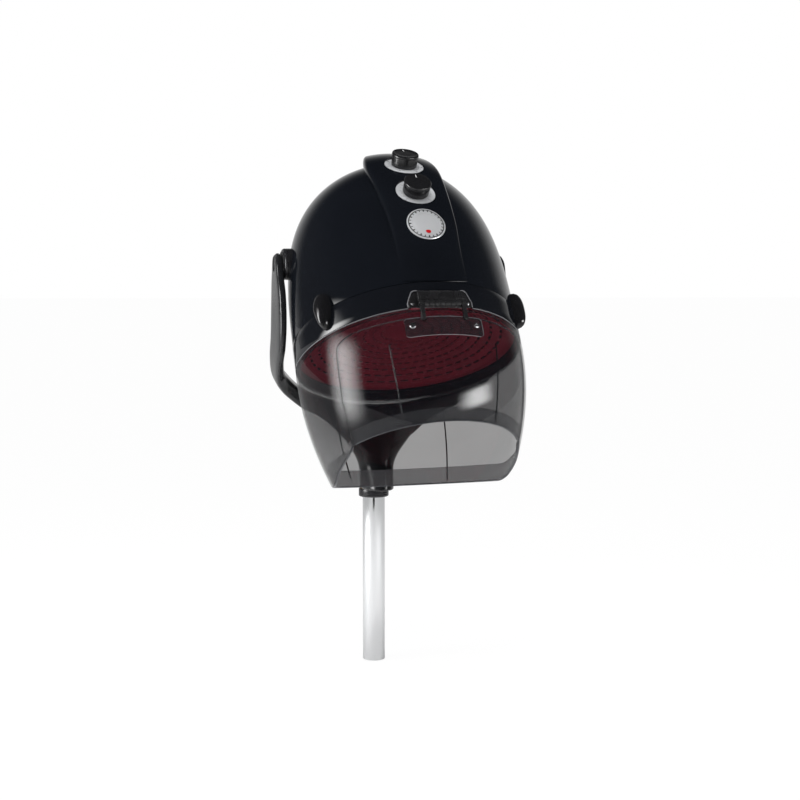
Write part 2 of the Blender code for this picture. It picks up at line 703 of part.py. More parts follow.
# ---------------------------------------------------------------- trim ring
trim_look = material("trim_bead", (0.03, 0.03, 0.03), 0.0, 0.3)
notch_angle = asin(NOTCH_HALF_WIDTH / HOOD_HALF_WIDTH) + 0.012
trim_angles = [notch_angle + (2 * pi - 2 * notch_angle) * k / TRIM_STEPS for k in range(TRIM_STEPS + 1)]
trim_grid = []
for k, angle in enumerate(trim_angles):
    tooth = TRIM_TOOTH if k % 2 else 0.0
    trim_grid.append([plan_point(angle, -FIT, -tooth), plan_point(angle, -TRIM_HEIGHT, -tooth),
                      plan_point(angle, -TRIM_HEIGHT, HOOD_WALL), plan_point(angle, -FIT, HOOD_WALL)])
node("trim_ring", placed(loft(trim_grid, ring=False), HOOD_FRAME), trim_look, PIVOT, 20.0)

# ---------------------------------------------------------------- visor skirt and flap
shoulder = -(TRIM_HEIGHT + FIT)
WINDOW_EDGE = [(FLAP_TOP, FLAP_TOP_ANGLE), (0.0185, 47.5), (0.0215, 50.8), (0.027, 53.3),
               (0.036, 54.8), (0.060, 56.2), (0.090, 57.3), (0.120, 58.6), (0.145, 59.8),
               (FLAP_BOTTOM, 61.0)]
face_steps = [0.30, 0.62, 1.0]


def bottom_height(angle):
    """Depth of the skirt's lower edge: lowest at the front tips, higher at the back."""
    tip_y = plan_point(radians(TIP_ANGLE), -TIP_DEPTH).y
    back_y = plan_point(pi, -BACK_DEPTH).y
    y = plan_point(angle, -TIP_DEPTH).y
    share = min(1.0, max(0.0, (y - tip_y) / (back_y - tip_y)))
    past = degrees(min(angle, 2 * pi - angle)) - TIP_ANGLE
    corner = 1.0 - min(1.0, max(0.0, past / TIP_SWEEP))
    return TIP_DEPTH + (BACK_DEPTH - TIP_DEPTH) * share - TIP_ROUNDING * corner * corner


BACK_COLUMNS = 26
hem = HEM_HEIGHT


def skirt_angle(edge_degrees, j):
    """Column j of the skirt counted from one window edge round the back to the other."""
    edge = radians(edge_degrees)
    share = j / BACK_COLUMNS
    even = share + 0.035 * sin(2 * pi * share)
    return edge + (2 * pi - 2 * edge) * even


FRONT_COLUMNS = 8
skirt_outer = []
skirt_inner = []
window_rows = []


def skirt_row(depths, edge_degrees, outer_inset, inner_inset):
    outer = []
    inner = []
    for j in range(BACK_COLUMNS + 1):
        angle = skirt_angle(edge_degrees, j)
        depth = depths(angle)
        outer.append(plan_point(angle, -depth, outer_inset))
        inner.append(plan_point(angle, -depth, inner_inset))
    for j in range(1, FRONT_COLUMNS):
        angle = radians(-edge_degrees) + 2 * radians(edge_degrees) * j / FRONT_COLUMNS
        outer.append(plan_point(angle, -depths(angle), outer_inset))
        inner.append(plan_point(angle, -depths(angle), inner_inset))
    skirt_outer.append(outer)
    skirt_inner.append(inner)


neck_inset = HOOD_WALL + 3 * FIT
neck_back = neck_inset + VISOR_WALL
skirt_row(lambda a: -VISOR_NECK, FLAP_TOP_ANGLE, neck_inset, neck_back)
skirt_row(lambda a: -shoulder, FLAP_TOP_ANGLE, neck_inset, neck_back)
skirt_row(lambda a: -shoulder, FLAP_TOP_ANGLE, 0.0, neck_back)
skirt_row(lambda a: -shoulder + 0.003, FLAP_TOP_ANGLE, 0.0, VISOR_WALL)
closed_rows = len(skirt_outer)
for depth, edge in WINDOW_EDGE:
    reach = (depth - FLAP_TOP) / (FLAP_BOTTOM - FLAP_TOP)

    def warped(angle, depth=depth, reach=reach):
        """Rows stay level near the flap and close up toward the shorter back."""
        away = min(1.0, max(0.0, (min(angle, 2 * pi - angle) - radians(61.0)) / radians(45.0)))
        short = bottom_height(angle) - hem - 0.004
        limit = FLAP_BOTTOM + (min(FLAP_BOTTOM, short) - FLAP_BOTTOM) * away
        return FLAP_TOP + (limit - FLAP_TOP) * reach
    skirt_row(warped, edge, 0.0, VISOR_WALL)


def face_edge(share):
    return WINDOW_EDGE[-1][1] + (TIP_ANGLE - WINDOW_EDGE[-1][1]) * share ** 1.15


def lower(share):
    def depth_at(angle):
        away = min(1.0, max(0.0, (min(angle, 2 * pi - angle) - radians(61.0)) / radians(45.0)))
        short = bottom_height(angle) - hem - 0.004
        start = FLAP_BOTTOM + (min(FLAP_BOTTOM, short) - FLAP_BOTTOM) * away
        end = bottom_height(angle)
        return start + (end - start) * share
    return depth_at


skirt_row(lower(0.12), face_edge(0.12), 0.0, VISOR_WALL)
skirt_row(lower(0.16), face_edge(0.16), 0.0, HEM_THICKNESS)
for share in face_steps:
    skirt_row(lower(share), face_edge(share), 0.0, HEM_THICKNESS)


def skirt_solid(i, j):
    return i < closed_rows or j < BACK_COLUMNS


smoke = material("visor_smoke", (0.10, 0.10, 0.11), 0.0, 0.05, 0.45)
skirt_shape = shell(skirt_outer, skirt_inner, skirt_solid, True)
skirt = combine(placed(skirt_shape, HOOD_FRAME),
                ("DIFFERENCE", placed(notch_body(-NOTCH_CLEAR, -HOOD_FRONT - 0.03,
                                                 notch_back + NOTCH_CLEAR, shoulder - 0.0015),
                                      HOOD_FRAME)))
node("visor_skirt", skirt, smoke, PIVOT)

HINGE = HOOD_FRAME @ Vector((0.0, -PIN_FORWARD, PIN_HEIGHT))
flap_outer = []
flap_inner = []
FLAP_COLUMNS = 20


def flap_row(depth, edge_degrees, inner_inset):
    width = half_sizes(-depth)[0]
    edge = radians(edge_degrees) - FLAP_GAP / width
    angles = [-edge + 2 * edge * j / FLAP_COLUMNS for j in range(FLAP_COLUMNS + 1)]
    flap_outer.append([plan_point(a, -depth) for a in angles])
    flap_inner.append([plan_point(a, -depth, inner_inset) for a in angles])


flap_row(FLAP_TOP + FLAP_GAP, FLAP_TOP_ANGLE, VISOR_WALL)
for depth, edge in WINDOW_EDGE[1:-1]:
    flap_row(depth + FLAP_GAP * 0.7, edge, VISOR_WALL)
flap_hem = FLAP_BOTTOM - 0.019
flap_row(flap_hem - 0.001, 59.1, VISOR_WALL)
flap_row(flap_hem, 59.2, HEM_THICKNESS)
flap_row(FLAP_BOTTOM, 61.0, HEM_THICKNESS)
flap_shape = shell(flap_outer, flap_inner, lambda i, j: True, False)
# The flap and the hinge leaf screwed to it share these two holes.
leaf_top = FLAP_TOP + 0.0016
leaf_rows = [leaf_top, leaf_top + LEAF_DROP * 0.5, leaf_top + LEAF_DROP]
screw_depth = leaf_top + LEAF_DROP * 0.42
screw_angle = asin(SCREW_SPREAD / half_sizes(-screw_depth)[0])
screw_frames = []
for side in (-1, 1):
    outward = surface_normal(side * screw_angle, -screw_depth)
    under_head = plan_point(side * screw_angle, -screw_depth) + outward * (2 * FIT + LEAF_THICKNESS)
    screw_frames.append(axis_frame(under_head, outward))
flap = combine(flap_shape)
for frame in screw_frames:
    flap = combine(flap, ("DIFFERENCE", bore_hole(frame, FLAP_SCREW_BORE, 0.01)))
flap.transform(HOOD_FRAME)
node("front_flap", flap, material("flap_smoke", (0.10, 0.10, 0.11), 0.0, 0.05, 0.45), HINGE)


# ---------------------------------------------------------------- control cover (the ridge)
RIDGE_EYE = Vector((0.0, 0.0, 0.130))


def ease(value, low, high):
    share = min(1.0, max(0.0, (value - low) / (high - low)))
    return share * share * (3.0 - 2.0 * share)


def section_share(point):
    """Below 1 inside the hood, 1 on its surface."""
    width, front, back, shift = half_sizes(min(CROWN_HEIGHT * 0.9999, point.z))
    y = point.y - shift
    return (point.x / width) ** 2 + (y / (front if y < 0 else back)) ** 2


def crown_point(psi, x, lift=0.0):
    """Point on the hood surface at a given x, seen from RIDGE_EYE at psi up from the brow."""
    aim = Vector((0.0, -cos(psi), sin(psi)))
    low, high = 0.02, 0.30
    for _ in range(34):
        middle = (low + high) / 2.0
        spot = RIDGE_EYE + aim * middle + Vector((x, 0.0, 0.0))
        if spot.z < CROWN_HEIGHT and section_share(spot) < 1.0:
            low = middle
        else:
            high = middle
    spot = RIDGE_EYE + aim * low + Vector((x, 0.0, 0.0))
    step = 0.0006
    slope = Vector([section_share(spot + d) - section_share(spot - d) for d in
                    (Vector((step, 0, 0)), Vector((0, step, 0)), Vector((0, 0, step)))])
    return spot + slope.normalized() * lift, slope.normalized()


def psi_at(height):
    low, high = radians(-40.0), radians(80.0)
    for _ in range(40):
        middle = (low + high) / 2.0
        if crown_point(middle, 0.0)[0].z < height:
            low = middle
        else:
            high = middle
    return low


def ridge_half(psi):
    widest = RIDGE_HALF_WIDTH + RIDGE_SPREAD * ease(psi, radians(-20.0), radians(60.0))
    past = max(0.0, degrees(psi) - RIDGE_SHOULDER) / (RIDGE_TAIL + 2.0 - RIDGE_SHOULDER)
    return widest * sqrt(1.0 - past * past)


def ridge_rise(psi):
    return RIDGE_RISE + (RIDGE_TOP_RISE - RIDGE_RISE) * ease(psi, radians(25.0), radians(78.0))


foot_psi = psi_at(RIDGE_FOOT)
tail_psi = radians(RIDGE_TAIL)
span = tail_psi - foot_psi
row_psis = [foot_psi, foot_psi + radians(0.35), foot_psi + radians(1.6)]
row_psis += [foot_psi + span * k / 14.0 for k in range(1, 14)]
row_psis += [tail_psi - radians(1.6), tail_psi - radians(0.35), tail_psi]
row_lift = [0.0, 0.50, 0.88] + [1.0] * 13 + [0.88, 0.50, 0.0]
col_reach = [-1.0, -0.985, -0.93, -0.78, -0.40, 0.0, 0.40, 0.78, 0.93, 0.985, 1.0]
col_lift = [0.0, 0.50, 0.88, 0.98, 1.0, 1.0, 1.0, 0.98, 0.88, 0.50, 0.0]


def ridge_grid(shrink, thin, extra=0.0):
    grid = []
    for i, psi in enumerate(row_psis):
        inward = shrink / 0.19 * (1 if i < 8 else -1) * (1 if i < 3 or i > 15 else 0)
        row = []
        for j, reach in enumerate(col_reach):
            share = min(row_lift[i], col_lift[j])
            lift = FIT + max(0.0, ridge_rise(psi) * share - thin) + extra
            if share == 0.0:
                lift = -RIDGE_SINK
            x = reach * (ridge_half(psi) - shrink)
            row.append(crown_point(psi + inward, x, lift)[0])
        grid.append(row)
    return grid


def all_solid(i, j):
    return True


def middle_cells(grid):
    return [row[2:-2] for row in grid[2:-2]]


def dome_body(swell):
    """The dome as one solid with its own facets, swelled outward."""
    heights = dome_rows[:-1] + [CROWN_HEIGHT * 0.9999]
    return placed(loft(skin_rows(heights, dome_angles, -swell), ring=False), HOOD_FRAME)


cover = combine(placed(shell(ridge_grid(0.0, 0.0), ridge_grid(RIDGE_WALL, RIDGE_WALL), all_solid,
                             False), HOOD_FRAME), ("DIFFERENCE", dome_body(FIT)))
envelope = placed(shell(middle_cells(ridge_grid(0.0, RIDGE_WALL / 2.0)),
                        middle_cells(ridge_grid(0.0, RIDGE_RISE * 2.0)), all_solid, False), HOOD_FRAME)


floor_top = -WELL_DEPTH
floor_low = floor_top - WELL_FLOOR
knob_frames = {}
for word, height in (("heat", HEAT_KNOB_HEIGHT), ("timer", TIMER_KNOB_HEIGHT)):
    psi = psi_at(height)
    spot, normal = crown_point(psi, 0.0, FIT + ridge_rise(psi))
    frame = axis_frame(HOOD_FRAME @ spot, LEAN @ normal)
    knob_frames[word] = frame
    wall = combine(envelope, ("INTERSECT", placed(disc(WELL_RADIUS + RIDGE_WALL, floor_low, 0.03),
                                                  frame)))
    cover = combine(cover, ("UNION", wall), ("DIFFERENCE", placed(disc(WELL_RADIUS, floor_top, 0.04),
                                                                  frame)),
                    ("DIFFERENCE", placed(disc(SHAFT_RADIUS + 0.001, floor_low - 0.01, 0.01, 16),
                                          frame)))
node("control_cover", cover, material("cover_gloss_black", BLACK, 0.0, 0.09), PIVOT)

dial_look = material("dial_silver", (0.62, 0.62, 0.64), 0.6, 0.3)
knob_look = material("knob_plastic", (0.014, 0.014, 0.015), 0.0, 0.28)
switch_look = material("switch_phenolic", (0.10, 0.06, 0.04), 0.0, 0.6)
shaft_look = material("shaft_steel", STEEL, 1.0, 0.3)
dial_low = floor_top + FIT
knob_low = dial_low + DIAL_THICKNESS + 2 * FIT
knob_bore = SHAFT_RADIUS + FIT
shaft_top = knob_low + 0.010
switch_top = floor_low - FIT
shaft_low = switch_top - SWITCH_HEIGHT * 0.7
for word, frame in knob_frames.items():
    hub = frame.translation
    node("dial_plate_" + word, placed(turned([
        (SHAFT_RADIUS + 0.001, dial_low), (WELL_RADIUS - FIT, dial_low),
        (WELL_RADIUS - FIT, dial_low + DIAL_THICKNESS), (SHAFT_RADIUS + 0.001, dial_low + DIAL_THICKNESS)],
        24, ring=True), frame), dial_look, PIVOT)
    node("knob_" + word, placed(turned([
        (0.0, shaft_top + FIT), (knob_bore, shaft_top + FIT), (knob_bore, knob_low),
        (KNOB_RADIUS - 0.001, knob_low), (KNOB_RADIUS, knob_low + KNOB_HEIGHT - 0.0025),
        (KNOB_RADIUS - 0.0018, knob_low + KNOB_HEIGHT), (0.0, knob_low + KNOB_HEIGHT)], 24), frame),
        knob_look, hub)
    node("shaft_" + word, placed(disc(SHAFT_RADIUS, shaft_low, shaft_top, 12), frame), shaft_look, hub)
    node("switch_" + word, placed(turned([
        (0.0, shaft_low - FIT), (knob_bore, shaft_low - FIT), (knob_bore, switch_top),
        (SWITCH_RADIUS, switch_top), (SWITCH_RADIUS, switch_top - SWITCH_HEIGHT),
        (0.0, switch_top - SWITCH_HEIGHT)], 16), frame), switch_look, PIVOT)

# Round badge lying on the cover between the knobs and the brow.
badge_psi = psi_at(BADGE_HEIGHT)
badge_spot, badge_normal = crown_point(badge_psi, 0.0, FIT + ridge_rise(badge_psi))
badge_frame = axis_frame(HOOD_FRAME @ badge_spot, LEAN @ badge_normal)
layer = placed(shell(middle_cells(ridge_grid(0.0, 0.0, FIT + BADGE_THICKNESS)),
                     middle_cells(ridge_grid(0.0, 0.0, FIT)), all_solid, False), HOOD_FRAME)
node("badge_disc", combine(layer, ("INTERSECT", placed(disc(BADGE_RADIUS, -0.02, 0.02, 28),
                                                       badge_frame))),
     material("badge_silver", (0.70, 0.71, 0.73), 0.5, 0.3), PIVOT)

# ---------------------------------------------------------------- flap hinge
hinge_look = material("hinge_plastic", (0.02, 0.02, 0.022), 0.0, 0.3)
screw_look = material("screw_steel", (0.75, 0.75, 0.77), 1.0, 0.2)
plate_front = -HOOD_FRONT + 0.0067
plate_back = plate_front + 0.0030


def across(radius, low, high, steps=16):
    """Cylinder about the hinge pin between two x values."""
    return placed(disc(radius, low, high, steps),
                  Matrix.Translation((0.0, -PIN_FORWARD, PIN_HEIGHT)) @ Matrix.Rotation(pi / 2, 4, "Y"))


def screw(frame, head, height, shank, length):
    """Pan-head screw: the frame's origin lies under its head and its Z points out of it."""
    return placed(turned([(0.0, -length), (shank, -length), (shank, 0.0), (head, 0.0),
                          (head, height * 0.5), (head * 0.6, height), (0.0, height)], 14), frame)


wing = BLOCK_HALF_WIDTH + WING_SCREW_REACH
bracket = notch_body(FIT, plate_front, plate_back, FIT)
wing_frames = [axis_frame(Vector((side * wing, plate_front - FIT, WING_SCREW_RISE)), Vector((0, -1, 0)))
               for side in (-1, 1)]
bracket_shape = combine(bracket, ("DIFFERENCE", bore_hole(wing_frames[0], WING_SCREW_SHANK + FIT, 0.01)),
                        ("DIFFERENCE", bore_hole(wing_frames[1], WING_SCREW_SHANK + FIT, 0.01)))
bracket_shape.transform(HOOD_FRAME)
node("hinge_bracket", bracket_shape, hinge_look, PIVOT)
for frame, word in zip(wing_frames, ("left", "right")):
    node("bracket_screw_" + word, placed(screw(frame, WING_SCREW_HEAD, WING_SCREW_HEIGHT, WING_SCREW_SHANK,
                                               WING_SCREW_LENGTH),
                                         HOOD_FRAME), screw_look, PIVOT)

fixed_knuckle = BLOCK_HALF_WIDTH - KNUCKLE_LENGTH - FIT
block_back = plate_front - FIT
block_shape = combine(box((-BLOCK_HALF_WIDTH, -PIN_FORWARD - 0.0015, PIN_HEIGHT + 0.0062),
                          (BLOCK_HALF_WIDTH, block_back, NOTCH_HEIGHT - 0.004)),
                      ("UNION", box((-fixed_knuckle, -PIN_FORWARD, PIN_HEIGHT - 0.003),
                                    (fixed_knuckle, block_back, PIN_HEIGHT + 0.008))),
                      ("UNION", across(BARREL_RADIUS, -fixed_knuckle, fixed_knuckle)),
                      ("DIFFERENCE", across(PIN_RADIUS + FIT, -0.05, 0.05, 12)))
block_shape.transform(HOOD_FRAME)
node("hinge_block", block_shape, hinge_look, PIVOT)
node("hinge_pin", placed(across(PIN_RADIUS, -BLOCK_HALF_WIDTH, BLOCK_HALF_WIDTH, 12), HOOD_FRAME),
     screw_look, PIVOT)


def leaf_grid(lift):
    grid = []
    for depth in leaf_rows:
        width = half_sizes(-depth)[0]
        reach = asin(LEAF_HALF_WIDTH / width)
        grid.append([plan_point(-reach + 2 * reach * j / 10.0, -depth, -lift) for j in range(11)])
    return grid


leaf = combine(shell(leaf_grid(FIT + LEAF_THICKNESS), leaf_grid(FIT), all_solid, False))
for side in (-1, 1):
    low = min(side * (fixed_knuckle + FIT), side * BLOCK_HALF_WIDTH)
    high = max(side * (fixed_knuckle + FIT), side * BLOCK_HALF_WIDTH)
    arm = box((low, -PIN_FORWARD - 0.0046, -leaf_top - 0.0050),
              (high, -PIN_FORWARD + 0.0015, PIN_HEIGHT))
    leaf = combine(leaf, ("UNION", arm), ("UNION", across(BARREL_RADIUS, low, high)))
leaf = combine(leaf, ("DIFFERENCE", across(PIN_RADIUS + FIT, -0.05, 0.05, 12)))
for frame in screw_frames:
    leaf = combine(leaf, ("DIFFERENCE", bore_hole(frame, FLAP_SCREW_BORE, 0.01)))
leaf.transform(HOOD_FRAME)
node("hinge_leaf", leaf, material("leaf_smoke", (0.05, 0.05, 0.055), 0.0, 0.1, 0.7), HINGE)
for frame, word in zip(screw_frames, ("left", "right")):
    node("flap_screw_" + word, placed(screw(frame, SCREW_RADIUS, SCREW_HEIGHT, SHANK_RADIUS, FLAP_SCREW_LENGTH),
                                      HOOD_FRAME), screw_look, HINGE)

# ---------------------------------------------------------------- air duct, fan and heater
duct_look = material("duct_black", (0.02, 0.02, 0.02), 0.0, 0.5)
flange_low = ledge_high + FIT
flange_high = flange_low + DUCT_WALL
edge = HOOD_WALL + 3 * FIT
inner = DUCT_INSET + DUCT_WALL
shoulder_low = DECK_HEIGHT - 0.005
duct_loops = [plan_loop(edge, flange_low, turn_angles), plan_loop(edge, flange_high, turn_angles),
              plan_loop(LEDGE_WIDTH + 0.004, flange_high, turn_angles)]
duct_loops += [plan_loop(DUCT_INSET, z, turn_angles) for z in (HEATER_LOW, HEATER_MID, HEATER_HIGH)]
duct_loops += [plan_loop(0.030, 0.160, turn_angles), plan_loop(0.048, shoulder_low, turn_angles),
               circle_loop(DECK_HOLE + 0.020, DECK_HEIGHT, turn_angles),
               circle_loop(DECK_HOLE, DECK_HEIGHT, turn_angles),
               circle_loop(DECK_HOLE, DECK_HEIGHT - DUCT_WALL, turn_angles),
               circle_loop(DECK_HOLE + 0.020, DECK_HEIGHT - DUCT_WALL, turn_angles),
               plan_loop(0.051, shoulder_low - 0.0015, turn_angles), plan_loop(0.032, 0.159, turn_angles)]
duct_loops += [plan_loop(inner, z, turn_angles) for z in (HEATER_HIGH, HEATER_MID, HEATER_LOW)]
duct_loops += [plan_loop(LEDGE_WIDTH + 0.006, flange_low, turn_angles)]
hinge_room = notch_body(-NOTCH_CLEAR, -HOOD_FRONT - 0.03, notch_back + NOTCH_CLEAR, -0.01)
duct = combine(loft(duct_loops), ("DIFFERENCE", hinge_room))
duct.transform(HOOD_FRAME)
node("air_duct", duct, duct_look, PIVOT)

fan_frame = HOOD_FRAME @ Matrix.Translation((0.0, FAN_CENTRE, 0.0))
FAN_AXIS = fan_frame @ Vector((0.0, 0.0, DECK_HEIGHT))
bracket_low = DECK_HEIGHT + FIT
bracket_high = bracket_low + BRACKET_THICKNESS
arm_half = 0.0085
spider = combine(disc(MOTOR_RADIUS + 0.003, bracket_low, bracket_high, 24),
                 ("UNION", box((-BRACKET_RADIUS, -arm_half, bracket_low),
                               (BRACKET_RADIUS, arm_half, bracket_high))),
                 ("UNION", box((-arm_half, -BRACKET_RADIUS, bracket_low),
                               (arm_half, BRACKET_RADIUS, bracket_high))),
                 ("DIFFERENCE", disc(FAN_SHAFT_RADIUS + 0.001, 0.1, 0.3, 12)))
spider.transform(fan_frame)
node("motor_bracket", spider, material("bracket_zinc", (0.45, 0.46, 0.48), 1.0, 0.4), PIVOT)

motor_low = bracket_high + FIT
motor_high = motor_low + MOTOR_HEIGHT
shaft_bore = FAN_SHAFT_RADIUS + FIT
bore_top = motor_low + MOTOR_HEIGHT * 0.6
node("fan_motor", placed(turned([
    (0.0, bore_top), (shaft_bore, bore_top), (shaft_bore, motor_low), (MOTOR_RADIUS, motor_low),
    (MOTOR_RADIUS, motor_high - 0.012), (MOTOR_RADIUS - 0.010, motor_high - 0.006),
    (0.012, motor_high - 0.006), (0.012, motor_high), (0.0, motor_high)], 24), fan_frame),
    material("motor_steel", (0.35, 0.36, 0.38), 1.0, 0.45), PIVOT)

fan_high = DECK_HEIGHT - DUCT_WALL - 0.004
fan_low = fan_high - FAN_HEIGHT
node("fan_shaft", placed(disc(FAN_SHAFT_RADIUS, fan_low + 0.002, bore_top - 2 * FIT, 12), fan_frame),
     shaft_look, FAN_AXIS)
star = []
for k in range(BLADES):
    base = 2 * pi * k / BLADES
    root = BLADE_WALL / 2.0 / IMPELLER_HUB
    tip = BLADE_WALL / 2.0 / FAN_RADIUS
    star += [(base - root, IMPELLER_HUB), (base + BLADE_SWEEP - tip, FAN_RADIUS),
             (base + BLADE_SWEEP + tip, FAN_RADIUS), (base + root, IMPELLER_HUB)]
star_loops = [[Vector((radius * sin(angle), -radius * cos(angle), height)) for angle, radius in star]
              for height in (fan_low, fan_high)]
plate_radius = FAN_RADIUS - 0.004
impeller = combine(loft(star_loops, ring=False),
                   ("UNION", disc(plate_radius, fan_high - 0.0016, fan_high + 0.0004)),
                   ("DIFFERENCE", disc(shaft_bore, 0.1, 0.3, 12)))
impeller.transform(fan_frame)
node("fan_impeller", impeller, material("impeller_grey", (0.25, 0.26, 0.27), 0.0, 0.5), FAN_AXIS)

cutout_low = bracket_high + FIT
node("thermal_cutout", placed(disc(CUTOUT_RADIUS, cutout_low, cutout_low + CUTOUT_HEIGHT, 14),
                              fan_frame @ Matrix.Translation((CUTOUT_REACH, 0.0, 0.0))),
     material("cutout_metal", (0.6, 0.6, 0.58), 1.0, 0.35), PIVOT)

half = HEATER_PLATE / 2.0
levels = (HEATER_LOW, HEATER_MID, HEATER_HIGH)
side_edge = [(half_sizes(z)[0] - inner - 2 * FIT, z) for z in levels]
brow_edge = [(-(half_sizes(z)[1] - inner - FIT) + half_sizes(z)[3], z) for z in levels]
nape_edge = [(half_sizes(z)[2] - inner - FIT + half_sizes(z)[3], z) for z in levels]
cross_loops = []
for y in (FAN_CENTRE - half, FAN_CENTRE + half):
    cross_loops.append([Vector((x, y, z)) for x, z in side_edge]
                       + [Vector((-x, y, z)) for x, z in reversed(side_edge)])
fore_loops = []
for x in (-half, half):
    fore_loops.append([Vector((x, y, z)) for y, z in nape_edge]
                      + [Vector((x, y, z)) for y, z in reversed(brow_edge)])


def torus(radius, rod):
    loops = []
    for a in full_turn(18):
        loops.append([Vector(((radius + rod * cos(b)) * sin(a),
                              FAN_CENTRE - (radius + rod * cos(b)) * cos(a),
                              HEATER_MID + rod * sin(b))) for b in full_turn(6)])
    return loft(loops)


mica = combine(loft(cross_loops, ring=False), ("UNION", loft(fore_loops, ring=False)))
for radius in HEATER_RING_RADII:
    mica = combine(mica, ("DIFFERENCE", torus(radius, HEATER_ROD_RADIUS + FIT)))
mica.transform(HOOD_FRAME)
node("heater_frame", mica, material("mica_board", (0.55, 0.47, 0.36), 0.0, 0.7), PIVOT)
rod_look = material("heater_rod", (0.30, 0.27, 0.25), 0.8, 0.5)
for radius, word in zip(HEATER_RING_RADII, ("inner", "outer")):
    node("heater_ring_" + word, placed(torus(radius, HEATER_ROD_RADIUS), HOOD_FRAME), rod_look, PIVOT)

# ---------------------------------------------------------------- diffuser
diffuser_high = ledge_low - FIT
diffuser_edge = LEDGE_WIDTH + 0.001
diffuser_angles = full_turn(DIFFUSER_STEPS)
SLOT_SHARES = [0.94, 0.88, 0.80, 0.74, 0.65, 0.59, 0.50, 0.44, 0.33]
centre = Vector((0.0, FAN_CENTRE, diffuser_high))
rim_loop = plan_loop(diffuser_edge, diffuser_high, diffuser_angles)


def diffuser_grid(drop):
    fall = Vector((0.0, 0.0, -drop))
    grid = [[p + fall for p in plan_loop(edge, diffuser_high, diffuser_angles)],
            [p + fall for p in rim_loop]]
    for share in SLOT_SHARES:
        up = Vector((0.0, 0.0, DIFFUSER_SAG * (1.0 - share * share)))
        grid.append([centre + (p - centre) * share + up + fall for p in rim_loop])
    grid.append([centre + Vector((0.0, 0.0, DIFFUSER_SAG)) + fall] * len(rim_loop))
    return grid


def diffuser_solid(i, j):
    """Slots in every second ring of cells, staggered between neighbouring rings."""
    if 2 <= i <= 8 and i % 2 == 0:
        return (j + i // 2) % 2 == 0
    return True


diffuser = combine(shell(diffuser_grid(0.0), diffuser_grid(DIFFUSER_WALL), diffuser_solid, True,
                         pole=True), ("DIFFERENCE", hinge_room))
diffuser.transform(HOOD_FRAME)
node("diffuser", diffuser, material("diffuser_red", (0.55, 0.02, 0.03), 0.0, 0.25, 0.75), PIVOT)
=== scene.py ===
from math import asin, cos, degrees, pi, radians, sin, sqrt

import bmesh
import bpy
from mathutils import Matrix, Vector


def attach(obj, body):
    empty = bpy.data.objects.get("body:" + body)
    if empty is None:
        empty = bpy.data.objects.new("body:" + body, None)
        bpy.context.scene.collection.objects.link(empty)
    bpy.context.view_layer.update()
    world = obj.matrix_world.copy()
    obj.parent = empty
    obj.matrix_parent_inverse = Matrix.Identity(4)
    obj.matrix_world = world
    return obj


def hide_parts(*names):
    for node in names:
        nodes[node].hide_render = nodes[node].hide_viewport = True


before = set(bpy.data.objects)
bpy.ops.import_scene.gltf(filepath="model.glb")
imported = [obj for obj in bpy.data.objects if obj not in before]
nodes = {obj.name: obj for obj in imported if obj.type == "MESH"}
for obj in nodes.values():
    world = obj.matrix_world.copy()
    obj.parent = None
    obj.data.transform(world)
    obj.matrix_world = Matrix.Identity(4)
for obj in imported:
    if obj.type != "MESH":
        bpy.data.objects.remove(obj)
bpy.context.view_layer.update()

# ---------------------------------------------------------------- the studio
# White sweep and pale floor, a tall strip light on the left, a smaller one on the
# right, a wide soft light overhead, and the camera at the product shot's angle.
scene = bpy.context.scene
scene.view_settings.view_transform = "Standard"

VIEW_TURN = radians(-16.611)
VIEW_RISE = radians(4.596)
VIEW_DISTANCE = 2.300
to_right = Vector((cos(VIEW_TURN), sin(VIEW_TURN), 0.0))
to_camera = Vector((sin(VIEW_TURN) * cos(VIEW_RISE), -cos(VIEW_TURN) * cos(VIEW_RISE), sin(VIEW_RISE)))
to_top = to_camera.cross(to_right)
aim = to_right * 0.045414 + Vector((0.0, 0.0, 0.451328))
camera_data = bpy.data.cameras.new("studio_camera")
camera_data.lens = 60.213
camera_data.sensor_width = 36.0
camera = bpy.data.objects.new("studio_camera", camera_data)
scene.collection.objects.link(camera)
camera.matrix_world = (Matrix.Translation(aim + to_camera * VIEW_DISTANCE)
                       @ Matrix((to_right, to_top, to_camera)).transposed().to_4x4())
scene.camera = camera


def feed(made, values):
    """Give a node's inputs their constants, or link them to other nodes' outputs."""
    for key, value in values.items():
        if isinstance(value, bpy.types.NodeSocket):
            made.id_data.links.new(value, made.inputs[key])
        else:
            made.inputs[key].default_value = value


def node(tree, kind, values, **settings):
    """A new shader node with its settings made and its inputs fed."""
    made = tree.nodes.new(kind)
    for key, value in settings.items():
        setattr(made, key, value)
    feed(made, values)
    return made


def seen_plain(tree, path):
    """1 for what the camera sees, straight or through something clear, and 0 for other rays."""
    rays = {0: path.outputs["Is Camera Ray"], 1: path.outputs["Is Transmission Ray"]}
    return node(tree, "ShaderNodeMath", rays, operation="MAXIMUM").outputs["Value"]


def ramp(tree, value, low, high, start, end, kind="LINEAR"):
    """A value's way from low to high, laid out from start to end."""
    ends = {"Value": value, "From Min": low, "From Max": high, "To Min": start, "To Max": end}
    return node(tree, "ShaderNodeMapRange", ends, interpolation_type=kind).outputs["Result"]


world = bpy.data.worlds.new("studio")
world.use_nodes = True
scene.world = world
tree = world.node_tree
tree.nodes.clear()
